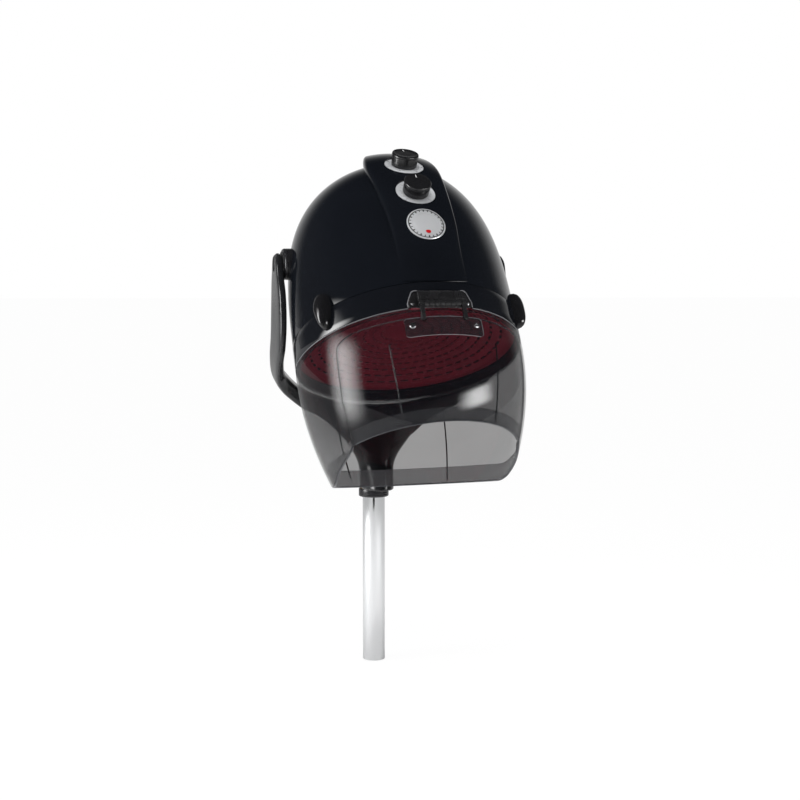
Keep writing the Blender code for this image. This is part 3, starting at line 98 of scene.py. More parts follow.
# Reflections see a dark room in front of the object and the white sweep behind it.
way = node(tree, "ShaderNodeTexCoord", {}).outputs["Generated"]
behind = node(tree, "ShaderNodeVectorMath", {0: way, 1: (-to_camera.x, -to_camera.y, 0.0)},
              operation="DOT_PRODUCT").outputs["Value"]
room = ramp(tree, behind, 0.58, 1.00, 0.035, 0.66, "SMOOTHSTEP")
rise = node(tree, "ShaderNodeSeparateXYZ", {"Vector": way}).outputs["Z"]
ceiling = ramp(tree, rise, 0.30, 0.80, 1.0, 0.10, "SMOOTHSTEP")
dimmed = node(tree, "ShaderNodeMath", {0: room, 1: ceiling}, operation="MULTIPLY").outputs["Value"]
path = node(tree, "ShaderNodeLightPath", {})
level = node(tree, "ShaderNodeMix", {"Factor": path.outputs["Is Glossy Ray"], "A": 0.55, "B": dimmed},
             data_type="FLOAT").outputs["Result"]
white = node(tree, "ShaderNodeMix", {"Factor": seen_plain(tree, path), "A": level, "B": 1.0},
             data_type="FLOAT").outputs["Result"]
sky = node(tree, "ShaderNodeBackground", {"Color": (1.0, 1.0, 1.0, 1.0), "Strength": white})
node(tree, "ShaderNodeOutputWorld", {"Surface": sky.outputs["Background"]})


def softbox(name, place, look_at, width, height, power, roll=0.0):
    """A rectangular area light turned to what it lights, then rolled about its own axis."""
    lamp = bpy.data.lights.new(name, "AREA")
    lamp.shape = "RECTANGLE"
    lamp.size = width
    lamp.size_y = height
    lamp.energy = power
    made = bpy.data.objects.new(name, lamp)
    scene.collection.objects.link(made)
    made.location = place
    made.rotation_euler = (Vector(look_at) - Vector(place)).to_track_quat("-Z", "Y").to_euler()
    made.rotation_euler.rotate_axis("Z", radians(roll))
    made.visible_camera = False
    # The cloth of the box glows most at its middle and fades toward its sides.
    lamp.use_nodes = True
    tree = lamp.node_tree
    across = node(tree, "ShaderNodeNewGeometry", {}).outputs["Parametric"]
    apart = node(tree, "ShaderNodeSeparateXYZ", {"Vector": across})
    glows = []
    for axis, fade in (("X", 0.48), ("Y", 0.30)):
        off = node(tree, "ShaderNodeMath", {0: apart.outputs[axis], 1: 0.5}, operation="SUBTRACT")
        away = node(tree, "ShaderNodeMath", {0: off.outputs["Value"]}, operation="ABSOLUTE")
        glows.append(ramp(tree, away.outputs["Value"], 0.5, 0.5 - fade, 0.0, 1.0, "SMOOTHSTEP"))
    both = node(tree, "ShaderNodeMath", {0: glows[0], 1: glows[1]}, operation="MULTIPLY")
    feed(tree.nodes["Emission"], {"Strength": both.outputs["Value"]})
    return made


HEART = Vector((0.0, -0.12, 0.55))
softbox("strip_left", HEART + Vector((-1.50, 0.02, 0.15)), HEART, 1.15, 1.20, 56.0, 14.0)
softbox("panel_right", HEART + Vector((0.885, -0.993, 0.14)), HEART + Vector((0, 0, -0.1)), 1.25, 0.24, 17.0)
softbox("overhead", HEART + Vector((-0.2, -0.6, 1.60)), HEART, 1.4, 1.0, 40.0).visible_glossy = False


def fresh(name, add, **settings):
    """A new primitive or text under this name, and nothing else selected."""
    bpy.ops.object.select_all(action="DESELECT")
    add(**settings)
    made = bpy.context.object
    made.name = made.data.name = name
    return made


# A black flag beside the camera, out of its view: polished metal shows it as a dark line.
flag = fresh("studio_flag", bpy.ops.mesh.primitive_plane_add, size=1.0)
flag.data.transform(Matrix.Diagonal((0.62, 2.2, 1.0, 1.0)))
flag.matrix_world = (Matrix.Translation(aim + to_camera * 1.60 + Vector((0.0, 0.0, 0.15)))
                     @ Matrix((to_right, to_top, to_camera)).transposed().to_4x4())
black_cloth = bpy.data.materials.new("flag_cloth")
black_cloth.use_nodes = True
feed(black_cloth.node_tree.nodes["Principled BSDF"],
     {"Base Color": (0.01, 0.01, 0.01, 1.0), "Roughness": 1.0})
flag.data.materials.append(black_cloth)
flag.visible_camera = flag.visible_diffuse = flag.visible_shadow = flag.visible_transmission = False

# The floor is pale card: lit from below in effect, it keeps only a share of the shadow.
floor = fresh("studio_floor", bpy.ops.mesh.primitive_plane_add, size=300.0, location=(0.0, 0.0, -0.0005))
card = bpy.data.materials.new("studio_card")
card.use_nodes = True
tree = card.node_tree
shader = tree.nodes["Principled BSDF"]
feed(shader, {"Base Color": (0.86, 0.86, 0.86, 1.0), "Roughness": 0.9})
glow = node(tree, "ShaderNodeEmission", {"Strength": 1.025})
seen = seen_plain(tree, node(tree, "ShaderNodeLightPath", {}))
share = node(tree, "ShaderNodeMath", {0: seen, 1: 0.93}, operation="MULTIPLY")
blend = node(tree, "ShaderNodeMixShader", {"Fac": share.outputs["Value"], 1: shader.outputs["BSDF"],
                                           2: glow.outputs["Emission"]})
feed(tree.nodes["Material Output"], {"Surface": blend.outputs["Shader"]})
floor.data.materials.append(card)


# ---------------------------------------------------------------- mast tube
# Plain 38 mm steel tube with a 1.5 mm wall, polished and chromed, cut square.
# It carries the whole hood and shows as one bright column with a dark middle line.
TUBE_RADIUS = 0.019
TUBE_WALL = 0.0015
TUBE_LENGTH = 0.2995
ROUND = 96


def finish(name, colour, drift=0.15, rough=0.3, rough_drift=0.1, cloud=9.0, grain=900.0, bump=0.02,
           metallic=0.0, streak=(1.0, 1.0, 1.0), **sockets):
    """A finish whose tone and gloss drift in soft clouds over a fine moulded or drawn grain."""
    made = bpy.data.materials.new(name)
    made.use_nodes = True
    tree = made.node_tree
    shader = tree.nodes["Principled BSDF"]
    feed(shader, {"Metallic": metallic} | {key.replace("_", " "): value for key, value in sockets.items()})
    where = node(tree, "ShaderNodeTexCoord", {}).outputs["Object"]
    spread = node(tree, "ShaderNodeMapping", {"Vector": where, "Scale": streak}).outputs["Vector"]
    clouds = node(tree, "ShaderNodeTexNoise",
                  {"Vector": spread, "Scale": cloud, "Detail": 5.0}).outputs["Fac"]
    tones = node(tree, "ShaderNodeMix", {
        "Factor": clouds, "A": (*[c * (1.0 - drift) for c in colour], 1.0),
        "B": (*[min(1.0, c * (1.0 + drift)) for c in colour], 1.0)}, data_type="RGBA")
    fine = node(tree, "ShaderNodeTexNoise", {"Vector": spread, "Scale": grain, "Detail": 2.0}).outputs["Fac"]
    relief = node(tree, "ShaderNodeBump", {"Strength": bump, "Distance": 0.001, "Height": fine})
    feed(shader, {"Base Color": tones.outputs["Result"], "Normal": relief.outputs["Normal"],
                  "Roughness": ramp(tree, clouds, 0.3, 0.7, rough, rough + rough_drift)})
    return made


def take(*pieces):
    """Select these pieces and nothing else; the first is active."""
    bpy.ops.object.select_all(action="DESELECT")
    for piece in pieces:
        piece.select_set(True)
    bpy.context.view_layer.objects.active = pieces[0]


def raw(name, points, edges=(), faces=()):
    """An object straight from its points, edges and faces, selected alone."""
    mesh = bpy.data.meshes.new(name)
    mesh.from_pydata([tuple(point) for point in points], edges, faces)
    made = bpy.data.objects.new(name, mesh)
    scene.collection.objects.link(made)
    take(made)
    return made


def shape(piece, kind, **settings):
    """Put a modifier on a piece and apply it."""
    take(piece)
    change = piece.modifiers.new(kind.lower(), kind)
    for key, value in settings.items():
        setattr(change, key, value)
    bpy.ops.object.modifier_apply(modifier=change.name)
    return piece


def seal(piece, merge=0.0):
    """Merge a piece's doubles, if asked, and turn its faces outward."""
    take(piece)
    bpy.ops.object.mode_set(mode="EDIT")
    bpy.ops.mesh.select_all(action="SELECT")
    if merge:
        bpy.ops.mesh.remove_doubles(threshold=merge)
    bpy.ops.mesh.normals_make_consistent(inside=False)
    bpy.ops.object.mode_set(mode="OBJECT")
    return piece


def lathe(name, profile, place=Matrix.Identity(4), steps=ROUND):
    """Turned piece: a closed wire of (radius, height) points screwed round Z."""
    count = len(profile)
    made = raw(name, [(max(radius, 0.0), 0.0, height) for radius, height in profile],
               [(k, (k + 1) % count) for k in range(count)])
    shape(made, "SCREW", steps=steps, render_steps=steps, use_merge_vertices=True, merge_threshold=0.00001)
    seal(made, 0.00001)
    made.data.transform(place)
    return made


def soften(piece, width, segments=3, angle=32.0):
    """Round the sharp edges."""
    return shape(piece, "BEVEL", width=width, segments=segments, limit_method="ANGLE",
                 angle_limit=radians(angle), harden_normals=False)


def wear(piece, *looks):
    """Give a piece these finishes, in this order, in place of what it has."""
    piece.data.materials.clear()
    for look in looks:
        piece.data.materials.append(look)
    return piece


def settle(piece, body, look, node_name, smooth=35.0):
    """Freeze a finished piece in place, shade it, give it its finish and its body, and hide the CAD node it
    stands for.
    """
    take(piece)
    bpy.ops.object.transform_apply(location=True, rotation=True, scale=True)
    bpy.ops.object.shade_smooth_by_angle(angle=radians(smooth))
    if look:
        wear(piece, look)
    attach(piece, body)
    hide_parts(node_name)


chrome = finish("chrome_polished", (0.80, 0.81, 0.82), 0.03, 0.045, 0.05, cloud=30.0, grain=1400.0,
                bump=0.006, metallic=1.0, streak=(1.0, 1.0, 0.08))
bore = TUBE_RADIUS - TUBE_WALL
tube = lathe("mast_tube_chromed", [(TUBE_RADIUS - 0.0004, 0.0), (TUBE_RADIUS, 0.0004),
                                   (TUBE_RADIUS, TUBE_LENGTH - 0.0004),
                                   (TUBE_RADIUS - 0.0004, TUBE_LENGTH), (bore + 0.0003, TUBE_LENGTH),
                                   (bore, TUBE_LENGTH - 0.0004), (bore, 0.0004), (bore + 0.0003, 0.0)])
settle(tube, "mast", chrome, "mast_tube")

# ---------------------------------------------------------------- collar and swivel
# Black moulded sleeve on the tube's top end, turned with two grip grooves.
# The steel spigot and bronze washer inside the joint keep their CAD shapes.
COLLAR_RADIUS = 0.0258
COLLAR_LOW = 0.2855
satin_black = finish("moulded_satin_black", (0.016, 0.016, 0.018), 0.25, 0.20, 0.14, cloud=22.0,
                     grain=1100.0, bump=0.05)
collar_bore = TUBE_RADIUS + 0.0003
rings = [(collar_bore, COLLAR_LOW + 0.0004), (collar_bore + 0.0006, COLLAR_LOW),
         (COLLAR_RADIUS - 0.0016, COLLAR_LOW), (COLLAR_RADIUS - 0.0004, COLLAR_LOW + 0.0006),
         (COLLAR_RADIUS, COLLAR_LOW + 0.0018)]
for groove in (0.0042, 0.0078):
    rings += [(COLLAR_RADIUS, COLLAR_LOW + groove - 0.0006), (COLLAR_RADIUS - 0.0007, COLLAR_LOW + groove),
              (COLLAR_RADIUS, COLLAR_LOW + groove + 0.0006)]
rings += [(COLLAR_RADIUS, TUBE_LENGTH - 0.0016), (COLLAR_RADIUS - 0.0005, TUBE_LENGTH - 0.0005),
          (COLLAR_RADIUS - 0.0018, TUBE_LENGTH), (collar_bore, TUBE_LENGTH)]
settle(lathe("mast_collar_grooved", rings), "mast", satin_black, "mast_collar")


def dress(name, look):
    """A CAD node that keeps its shape gets this finish in its slots."""
    mesh = nodes[name].data
    for k in range(len(mesh.materials)):
        mesh.materials[k] = look


turned_steel = finish("steel_turned", (0.60, 0.60, 0.61), 0.08, 0.22, 0.14, cloud=40.0, grain=700.0,
                      bump=0.03, metallic=1.0, streak=(1.0, 1.0, 14.0))
dress("swivel_spigot", turned_steel)
dress("thrust_washer", finish("bronze_oiled", (0.13, 0.09, 0.05), 0.2, 0.28, 0.2, cloud=60.0,
                              grain=800.0, bump=0.05, metallic=1.0))

# ---------------------------------------------------------------- dome shell
# One-piece gloss black moulding, 3 mm thick, with two rows of air slots at the nape,
# a hole for each tilt hub and one for the cable bush.
REST_TILT = radians(27.47)
RIM_FORWARD = 0.2004
RIM_HEIGHT = 0.5279
HALF_WIDTH = 0.1772
FRONT = 0.1927
BACK = 0.1575
CROWN = 0.3374
CROWN_LEAN = 0.040
SHELL_WALL = 0.003
BAND_HEIGHT = 0.0405
HUB_RADIUS = 0.0250
FIT = 0.0003

LEAN = Matrix.Rotation(-REST_TILT, 4, "X")
HOOD = Matrix.Translation((0.0, -RIM_FORWARD, RIM_HEIGHT)) @ LEAN


def hood_sizes(height):
    """Half width, front reach, back reach and set-back of the hood's section at a height."""
    if height >= 0.0:
        share = min(height / CROWN, 1.0)
        side = max(1e-7, 1.0 - share ** 3.786) ** (1.0 / 2.049)
        brow = max(1e-7, 1.0 - share ** 2.096) ** (1.0 / 2.512)
        return HALF_WIDTH * side, FRONT * brow, BACK * side, CROWN_LEAN * height
    down = -height / 0.200
    return (HALF_WIDTH * (1.0 + 0.030 * down - 0.265 * down * down),
            FRONT * (1.0 + 0.170 * down - 0.364 * down * down), BACK * (1.0 - 0.050 * down), 0.0)


def turn_of(step, count):
    """Angle of a step of a closed round; the last step falls on the first."""
    return 2 * pi * (step % count) / count


def on_hood(angle, height, inset=0.0):
    """Point of the hood's section, angle counted from the brow, moved in square to the section."""
    width, front, back, shift = hood_sizes(height)
    reach = front if cos(angle) > 0.0 else back
    normal = Vector((sin(angle) / width, -cos(angle) / reach, 0.0)).normalized()
    return Vector((width * sin(angle), shift - reach * cos(angle), height)) - normal * inset


def out_of_hood(angle, height):
    """Outward direction of the hood's surface."""
    high = min(CROWN * 0.9995, height + 0.0015) if height >= 0.0 else height + 0.0015
    low = max(0.0, height - 0.0015) if height >= 0.0 else height - 0.0015
    along = on_hood(angle, high) - on_hood(angle, low)
    around = on_hood(angle + 0.01, height) - on_hood(angle - 0.01, height)
    return around.cross(along).normalized()


def sheet(name, columns, rows, place):
    """A grid with this many cells, each point laid where place(column, row) says."""
    made = fresh(name, bpy.ops.mesh.primitive_grid_add, x_subdivisions=columns, y_subdivisions=rows, size=1.0)
    for point in made.data.vertices:
        point.co = place(int(round((point.co.x + 0.5) * columns)), int(round((point.co.y + 0.5) * rows)))
    bpy.ops.object.mode_set(mode="EDIT")
    bpy.ops.mesh.select_all(action="SELECT")
    bpy.ops.mesh.remove_doubles(threshold=0.00001)
    bpy.ops.object.mode_set(mode="OBJECT")
    return made


def face_out(piece, centre):
    """Turn all faces of an open sheet away from a centre."""
    mesh = piece.data
    total = sum(face.normal.dot(face.center - Vector(centre)) * face.area for face in mesh.polygons)
    if total < 0.0:
        mesh.flip_normals()
    return piece


def thicken(piece, wall, rim=0):
    """Give an open sheet its wall, inward; rim faces take the next material where rim is 1."""
    return shape(piece, "SOLIDIFY", thickness=wall, offset=-1.0, use_even_offset=True, material_offset_rim=rim)


def carve(piece, *cutters, operation="DIFFERENCE"):
    """Exact boolean with each cutter in turn; the cutters are then gone."""
    for cutter in cutters:
        shape(piece, "BOOLEAN", operation=operation, solver="EXACT", object=cutter)
        bpy.data.objects.remove(cutter)
    return piece


AROUND = 216
UPWARD = 72


def dome_place(column, row):
    share = row / UPWARD
    height = BAND_HEIGHT + 0.0008 + (CROWN - BAND_HEIGHT - 0.0008) * (1.0 - (1.0 - share) ** 1.8)
    if row == UPWARD:
        return Vector((0.0, CROWN_LEAN * CROWN, CROWN))
    tuck = 0.0003 + 0.0005 * max(0.0, 1.0 - row) ** 2
    return on_hood(turn_of(column, AROUND), height, tuck)


dome = sheet("dome_shell_moulded", AROUND, UPWARD, dome_place)
face_out(dome, (0.0, 0.0, 0.1))
thicken(dome, SHELL_WALL)
dome.data.transform(HOOD)
PIVOT_BACK = 0.0143
PIVOT_HEIGHT = 0.1793
PIVOT = HOOD @ Vector((0.0, PIVOT_BACK, PIVOT_HEIGHT))


def rod(name, place, radius, depth, steps=48):
    """Plain cylinder along the place's Z, used to cut with or to build from."""
    made = fresh(name, bpy.ops.mesh.primitive_cylinder_add, vertices=steps, radius=radius, depth=depth)
    made.data.transform(place)
    return made


def stand(origin, direction):
    """Frame at a point whose Z runs along a direction and whose X stays level."""
    up = Vector(direction).normalized()
    level = (Vector((1.0, 0.0, 0.0)) - up * up.x).normalized()
    return Matrix.Translation(origin) @ Matrix((level, up.cross(level), up)).transposed().to_4x4()


SLOT_ROWS = ((0.205, 0.228), (0.250, 0.272))
cutters = []
for low, high in SLOT_ROWS:
    for k in range(6):
        angle = pi + radians(-27.5 + 10.0 * k)
        middle = (low + high) / 2.0
        spot, out = on_hood(angle, middle), out_of_hood(angle, middle)
        per_degree = (on_hood(angle + 0.01, middle) - on_hood(angle - 0.01, middle)).length / 0.02 * pi / 180
        slot_cutter = fresh("slot_cutter", bpy.ops.mesh.primitive_cube_add, size=1.0)
        slot_cutter.data.transform(Matrix.Diagonal((per_degree * 5.0, (high - low) * 0.96, 0.03, 1.0)))
        bpy.ops.object.mode_set(mode="EDIT")
        bpy.ops.mesh.select_all(action="DESELECT")
        bpy.ops.object.mode_set(mode="OBJECT")
        for edge in slot_cutter.data.edges:
            ends = [slot_cutter.data.vertices[v].co for v in edge.vertices]
            edge.select = abs(ends[0].z - ends[1].z) > 0.01
        bpy.ops.object.mode_set(mode="EDIT")
        bpy.ops.mesh.bevel(offset=per_degree * 2.4, segments=8)
        bpy.ops.object.mode_set(mode="OBJECT")
        slot_cutter.data.transform(HOOD @ stand(spot, out))
        cutters.append(slot_cutter)
side_place = Matrix.Translation(PIVOT) @ Matrix.Rotation(pi / 2, 4, "Y")
cutters.append(rod("hub_cutter", side_place, HUB_RADIUS + FIT, 0.6, ROUND))
GLAND_RADIUS = 0.0085
GLAND_HEIGHT = 0.075
gland_place = stand(HOOD @ on_hood(pi, GLAND_HEIGHT), LEAN @ Vector((0.0, 1.0, 0.0)))
cutters.append(rod("gland_cutter", gland_place, GLAND_RADIUS + FIT, 0.06))
carve(dome, *cutters)
gloss_black = finish("gloss_black_dome", (0.0052, 0.0062, 0.0086), 0.3, 0.045, 0.05, cloud=7.0,
                     grain=520.0, bump=0.010, IOR=1.5)
settle(dome, "hood", gloss_black, "dome_shell")

# Rubber bush for the cable, ribbed to bend, in the dome's nape.
ribs = [(0.0035, -0.008), (GLAND_RADIUS, -0.008), (GLAND_RADIUS, 0.0010), (GLAND_RADIUS + 0.0028, 0.0010),
        (GLAND_RADIUS + 0.0022, 0.0030)]
for k in range(4):
    height = 0.0036 + 0.0016 * k
    ribs += [(0.0080 - 0.0004 * k, height), (0.0080 - 0.0004 * k, height + 0.0008),
             (0.0070 - 0.0004 * k, height + 0.0010), (0.0070 - 0.0004 * k, height + 0.0014)]
ribs += [(0.0060, 0.0100), (0.0035, 0.0100)]
rubber = finish("rubber_matt", (0.020, 0.020, 0.020), 0.3, 0.50, 0.2, cloud=60.0, grain=1500.0, bump=0.12)
settle(lathe("cable_bush_ribbed", ribs, gland_place, 48), "hood", rubber, "cable_inlet")

# ---------------------------------------------------------------- brow band
# Gloss black hoop that closes the dome's lower edge and carries the visor. A shadow
# gap parts it from the dome, a lip runs under it, and its front is notched for the hinge.
LEDGE_LOW = 0.0180
LEDGE_HIGH = 0.0205
LEDGE_WIDTH = 0.0125
NOTCH_HALF = 0.0480
NOTCH_TOP = 0.0265
hoop = [(0.0, 0.0010), (0.0, 0.0100), (0.0, 0.0200), (0.0, 0.0300), (0.0, BAND_HEIGHT - 0.0010),
        (0.0003, BAND_HEIGHT - 0.0003), (0.0010, BAND_HEIGHT), (SHELL_WALL, BAND_HEIGHT),
        (SHELL_WALL, LEDGE_HIGH), (LEDGE_WIDTH, LEDGE_HIGH), (LEDGE_WIDTH, LEDGE_LOW),
        (SHELL_WALL, LEDGE_LOW), (SHELL_WALL, 0.0), (0.0010, 0.0), (0.0003, 0.0003)]
band = sheet("brow_band_hoop", 288, len(hoop),
             lambda c, r: on_hood(turn_of(c, 288), hoop[r % len(hoop)][1], hoop[r % len(hoop)][0]))
seal(band)


def notch_block(grow, front, back, low):
    """The hinge notch as a block with rounded upper corners, grown by a clearance."""
    corner = 0.0070
    outline = [(NOTCH_HALF + grow, low), (NOTCH_HALF + grow, 0.008)]
    for k in range(7):
        turn = radians(11.3) + radians(78.7) * k / 6.0
        outline.append((NOTCH_HALF - 0.0125 + (corner + grow) * cos(turn),
                        NOTCH_TOP - corner + (corner + grow) * sin(turn)))
    outline += [(-x, z) for x, z in reversed(outline)]
    count = len(outline)
    made = raw("notch_block", [(x, front, z) for x, z in outline] + [(x, back, z) for x, z in outline], [],
               [tuple(range(count)), tuple(reversed(range(count, 2 * count)))]
               + [(k, k + count, (k + 1) % count + count, (k + 1) % count) for k in range(count)])
    return seal(made), outline


NOTCH_BACK = -FRONT + 0.0118
block, notch_outline = notch_block(0.0, -FRONT - 0.03, NOTCH_BACK, -0.01)
carve(band, block)
band.data.transform(HOOD)
band_black = finish("gloss_black_band", (0.0056, 0.0064, 0.0086), 0.3, 0.055, 0.05, cloud=8.0, grain=520.0,
                    bump=0.010, IOR=1.5)
settle(band, "hood", band_black, "brow_band")

# ---------------------------------------------------------------- trim bead
# Rope-like bead moulded in dark plastic, drawn mid grey as a painted highlight: one run under the band's edge
# and one round the hinge notch. It hides the joint to the visor.
BEAD_RADIUS = 0.00085
BEAD_PITCH = 0.0030
BEAD_RINGS = 4
BEAD_SIDES = 8


def rope(name, path, radius, pitch):
    """A tube along a path whose thickness swells once a pitch, like a string of beads."""
    lengths = [0.0]
    for a, b in zip(path, path[1:]):
        lengths.append(lengths[-1] + (b[0] - a[0]).length)
    beads = int(lengths[-1] / pitch)
    steps = beads * BEAD_RINGS
    spots = []
    index = 0
    for k in range(steps + 1):
        want = lengths[-1] * k / steps
        while index < len(lengths) - 2 and lengths[index + 1] < want:
            index += 1
        part = (want - lengths[index]) / max(1e-9, lengths[index + 1] - lengths[index])
        spots.append((path[index][0].lerp(path[index + 1][0], part),
                      path[index][1].lerp(path[index + 1][1], part).normalized()))

    def place(column, row):
        spot, out = spots[column]
        ahead = (spots[min(column + 1, steps)][0] - spots[max(column - 1, 0)][0]).normalized()
        across = ahead.cross(out).normalized()
        swell = radius * (0.58 + 0.42 * abs(sin(pi * column / BEAD_RINGS)))
        if column in (0, steps):
            swell = 1e-6
        turn = turn_of(row, BEAD_SIDES)
        return spot + (out * cos(turn) + across * sin(turn)) * swell
    return seal(sheet(name, steps, BEAD_SIDES, place))


def join(first, *others):
    take(first, *others)
    bpy.ops.object.join()
    return first


notch_angle = asin(NOTCH_HALF / HALF_WIDTH) + 0.006
lower_run = []
for k in range(361):
    angle = notch_angle + (2 * pi - 2 * notch_angle) * k / 360
    lower_run.append((on_hood(angle, -0.0010, 0.0006), out_of_hood(angle, -0.0010)))


def brow_at(x, z, lift):
    """Point and direction on the band's front, over the hinge notch."""
    angle = asin(max(-1.0, min(1.0, x / hood_sizes(z)[0])))
    return on_hood(angle, z, -lift), out_of_hood(angle, max(z, 0.002))


arch_run = []
for x, z in notch_outline[1:-1]:
    away = Vector((x, 0.0, z - 0.012)).normalized() * 0.0011
    arch_run.append(brow_at(x + away.x, max(0.0012, z + away.z), -0.0002))
first, last = notch_outline[0], notch_outline[-1]
arch_run.insert(0, brow_at(first[0] + 0.0010, 0.0004, -0.0002))
arch_run.append(brow_at(last[0] - 0.0010, 0.0004, -0.0002))
beads = join(rope("trim_bead_rope", lower_run, BEAD_RADIUS, BEAD_PITCH),
             rope("trim_bead_arch", arch_run, 0.0011, 0.0026))
beads.data.transform(HOOD)
# The bead's mid grey is a painted highlight over dark plastic.
bead_painted_highlight = finish("bead_plastic_painted_highlight", (0.16, 0.16, 0.17), 0.2, 0.08, 0.08, cloud=50.0, grain=900.0,
                   bump=0.03)
settle(beads, "hood", bead_painted_highlight, "trim_ring", smooth=60.0)

# ---------------------------------------------------------------- ear covers
# Teardrop caps, one each side, snapped over the visor's side fixings: thin wall,
# crowned, with a moulded crescent step.
EAR_ANGLE = radians(58.0)
EAR_HEIGHT = 0.036
EAR_HALF_LENGTH = 0.031
EAR_HALF_WIDTH = 0.0135
EAR_RISE = 0.0150
ear_black = finish("gloss_black_ear", (0.0085, 0.0085, 0.0095), 0.3, 0.05, 0.06, cloud=30.0, grain=620.0,
                   bump=0.012, IOR=1.5)
for side, word in ((-1, "left"), (1, "right")):
    turn_ear = side * EAR_ANGLE
    per_turn = (on_hood(turn_ear + 0.01, EAR_HEIGHT) - on_hood(turn_ear - 0.01, EAR_HEIGHT)).length / 0.02

    def ear_place(column, row, turn_ear=turn_ear, per_turn=per_turn, side=side):
        share = 1.0 - row / 22.0
        a = turn_of(column, 64)
        u = EAR_HALF_WIDTH * share * sin(a) * (1.0 + 0.28 * cos(a))
        v = EAR_HALF_LENGTH * share * cos(a)
        angle = turn_ear + u / per_turn
        lift = FIT + 0.0012 + EAR_RISE * sqrt(max(0.0, 1.0 - share ** 2.6))
        step = 0.0007 if share > 0.90 else 0.0
        if row == 0:
            lift = FIT
        return on_hood(angle, EAR_HEIGHT + v) + out_of_hood(angle, EAR_HEIGHT + v) * (lift - step)
    ear = sheet("ear_cap_" + word, 64, 22, ear_place)
    face_out(ear, (0.0, 0.0, 0.05))
    thicken(ear, 0.0010)
    ear.data.transform(HOOD)
    settle(ear, "hood", ear_black, "ear_cover_" + word)

# ---------------------------------------------------------------- control cover
# Gloss black ridge over the brow and crown, thin-walled, with rounded sides and two
# round wells for the dials. It is screwed on from inside the dome.
EYE = Vector((0.0, 0.0, 0.130))
RIDGE_HALF = 0.0500
RIDGE_SPREAD = 0.0085
RIDGE_RISE = 0.0080
RIDGE_TOP_RISE = 0.0170
RIDGE_WALL = 0.0025
RIDGE_SHOULDER = 50.0
RIDGE_TAIL = 82.0
WELL_RADIUS = 0.0312
WELL_DEPTH = 0.0050
WELL_FLOOR = 0.0025
KNOB_HEIGHTS = (("heat", 0.2100), ("timer", 0.2749))


def section_share(point):
    width, front, back, shift = hood_sizes(min(CROWN * 0.9999, point.z))
    y = point.y - shift
    return (point.x / width) ** 2 + (y / (front if y < 0 else back)) ** 2


def over_crown(psi, x):
    """Point and outward direction on the hood, psi up from the brow and x across."""
    way = Vector((0.0, -cos(psi), sin(psi)))
    low, high = 0.02, 0.30
    for _ in range(26):
        middle = (low + high) / 2.0
        spot = EYE + way * middle + Vector((x, 0.0, 0.0))
        if spot.z < CROWN and section_share(spot) < 1.0:
            low = middle
        else:
            high = middle
    spot = EYE + way * low + Vector((x, 0.0, 0.0))
    slope = Vector([section_share(spot + d) - section_share(spot - d) for d in
                    (Vector((0.0006, 0, 0)), Vector((0, 0.0006, 0)), Vector((0, 0, 0.0006)))])
    return spot, slope.normalized()


def psi_at(height):
    low, high = radians(-40.0), radians(80.0)
    for _ in range(34):
        middle = (low + high) / 2.0
        if over_crown(middle, 0.0)[0].z < height:
            low = middle
        else:
            high = middle
    return low


def ease(value, low, high):
    share = min(1.0, max(0.0, (value - low) / (high - low)))
    return share * share * (3.0 - 2.0 * share)


def ridge_half(psi):
    widest = RIDGE_HALF + RIDGE_SPREAD * ease(psi, radians(-20.0), radians(60.0))
    past = max(0.0, degrees(psi) - RIDGE_SHOULDER) / (RIDGE_TAIL + 2.0 - RIDGE_SHOULDER)
    return widest * sqrt(1.0 - past * past)


FOOT_PSI = psi_at(0.0416)
FOOT_RISE = 0.0010


def fading(psi):
    """0 at the cover's foot, 1 from the badge up."""
    return ease(psi, FOOT_PSI, FOOT_PSI + radians(32.0))


def ridge_rise(psi):
    full = RIDGE_RISE + (RIDGE_TOP_RISE - RIDGE_RISE) * ease(psi, radians(25.0), radians(78.0))
    return FOOT_RISE + (full - FOOT_RISE) * fading(psi)


TAIL_PSI = radians(RIDGE_TAIL)
RIDGE_ROWS = 72
RIDGE_COLUMNS = 48


def edge_fall(away, radius=0.0075):
    """Height share of a rounded shoulder at a distance in from the cover's edge."""
    if away >= radius:
        return 1.0
    return sqrt(max(0.0, 1.0 - (1.0 - away / radius) ** 2.4))


def ridge_spot(psi, reach, lift_more=0.0, floor=-0.0012):
    half = ridge_half(psi)
    spot, out = over_crown(psi, reach * half)
    side_gap = half * (1.0 - abs(reach))
    end_gap = (TAIL_PSI - psi) * 0.19
    share = edge_fall(max(0.0, side_gap), 0.0200 - 0.0120 * fading(psi)) * edge_fall(max(0.0, end_gap))
    crown = 1.0 + 0.08 * (1.0 - reach * reach)
    lift = floor + (FIT + ridge_rise(psi) * min(1.0, crown) - floor) * share
    return spot + out * (lift + lift_more)


def bunched(k, count):
    """0 to 1, with points crowded toward both ends."""
    share = k / count
    return 0.5 - 0.5 * cos(pi * share) * (1.0 + 0.25 * (1.0 - cos(pi * share) ** 2))


def ridge_place(column, row):
    psi = FOOT_PSI + (TAIL_PSI - FOOT_PSI) * bunched(row, RIDGE_ROWS)
    return ridge_spot(psi, 2.0 * bunched(column, RIDGE_COLUMNS) - 1.0)


cover = sheet("control_cover_ridge", RIDGE_COLUMNS, RIDGE_ROWS, ridge_place)
face_out(cover, EYE)
thicken(cover, RIDGE_WALL)
knob_places = {}
for word, height in KNOB_HEIGHTS:
    psi = psi_at(height)
    spot, out = over_crown(psi, 0.0)
    knob_places[word] = stand(HOOD @ (spot + out * (FIT + ridge_rise(psi))), LEAN @ out)
cover.data.transform(HOOD)


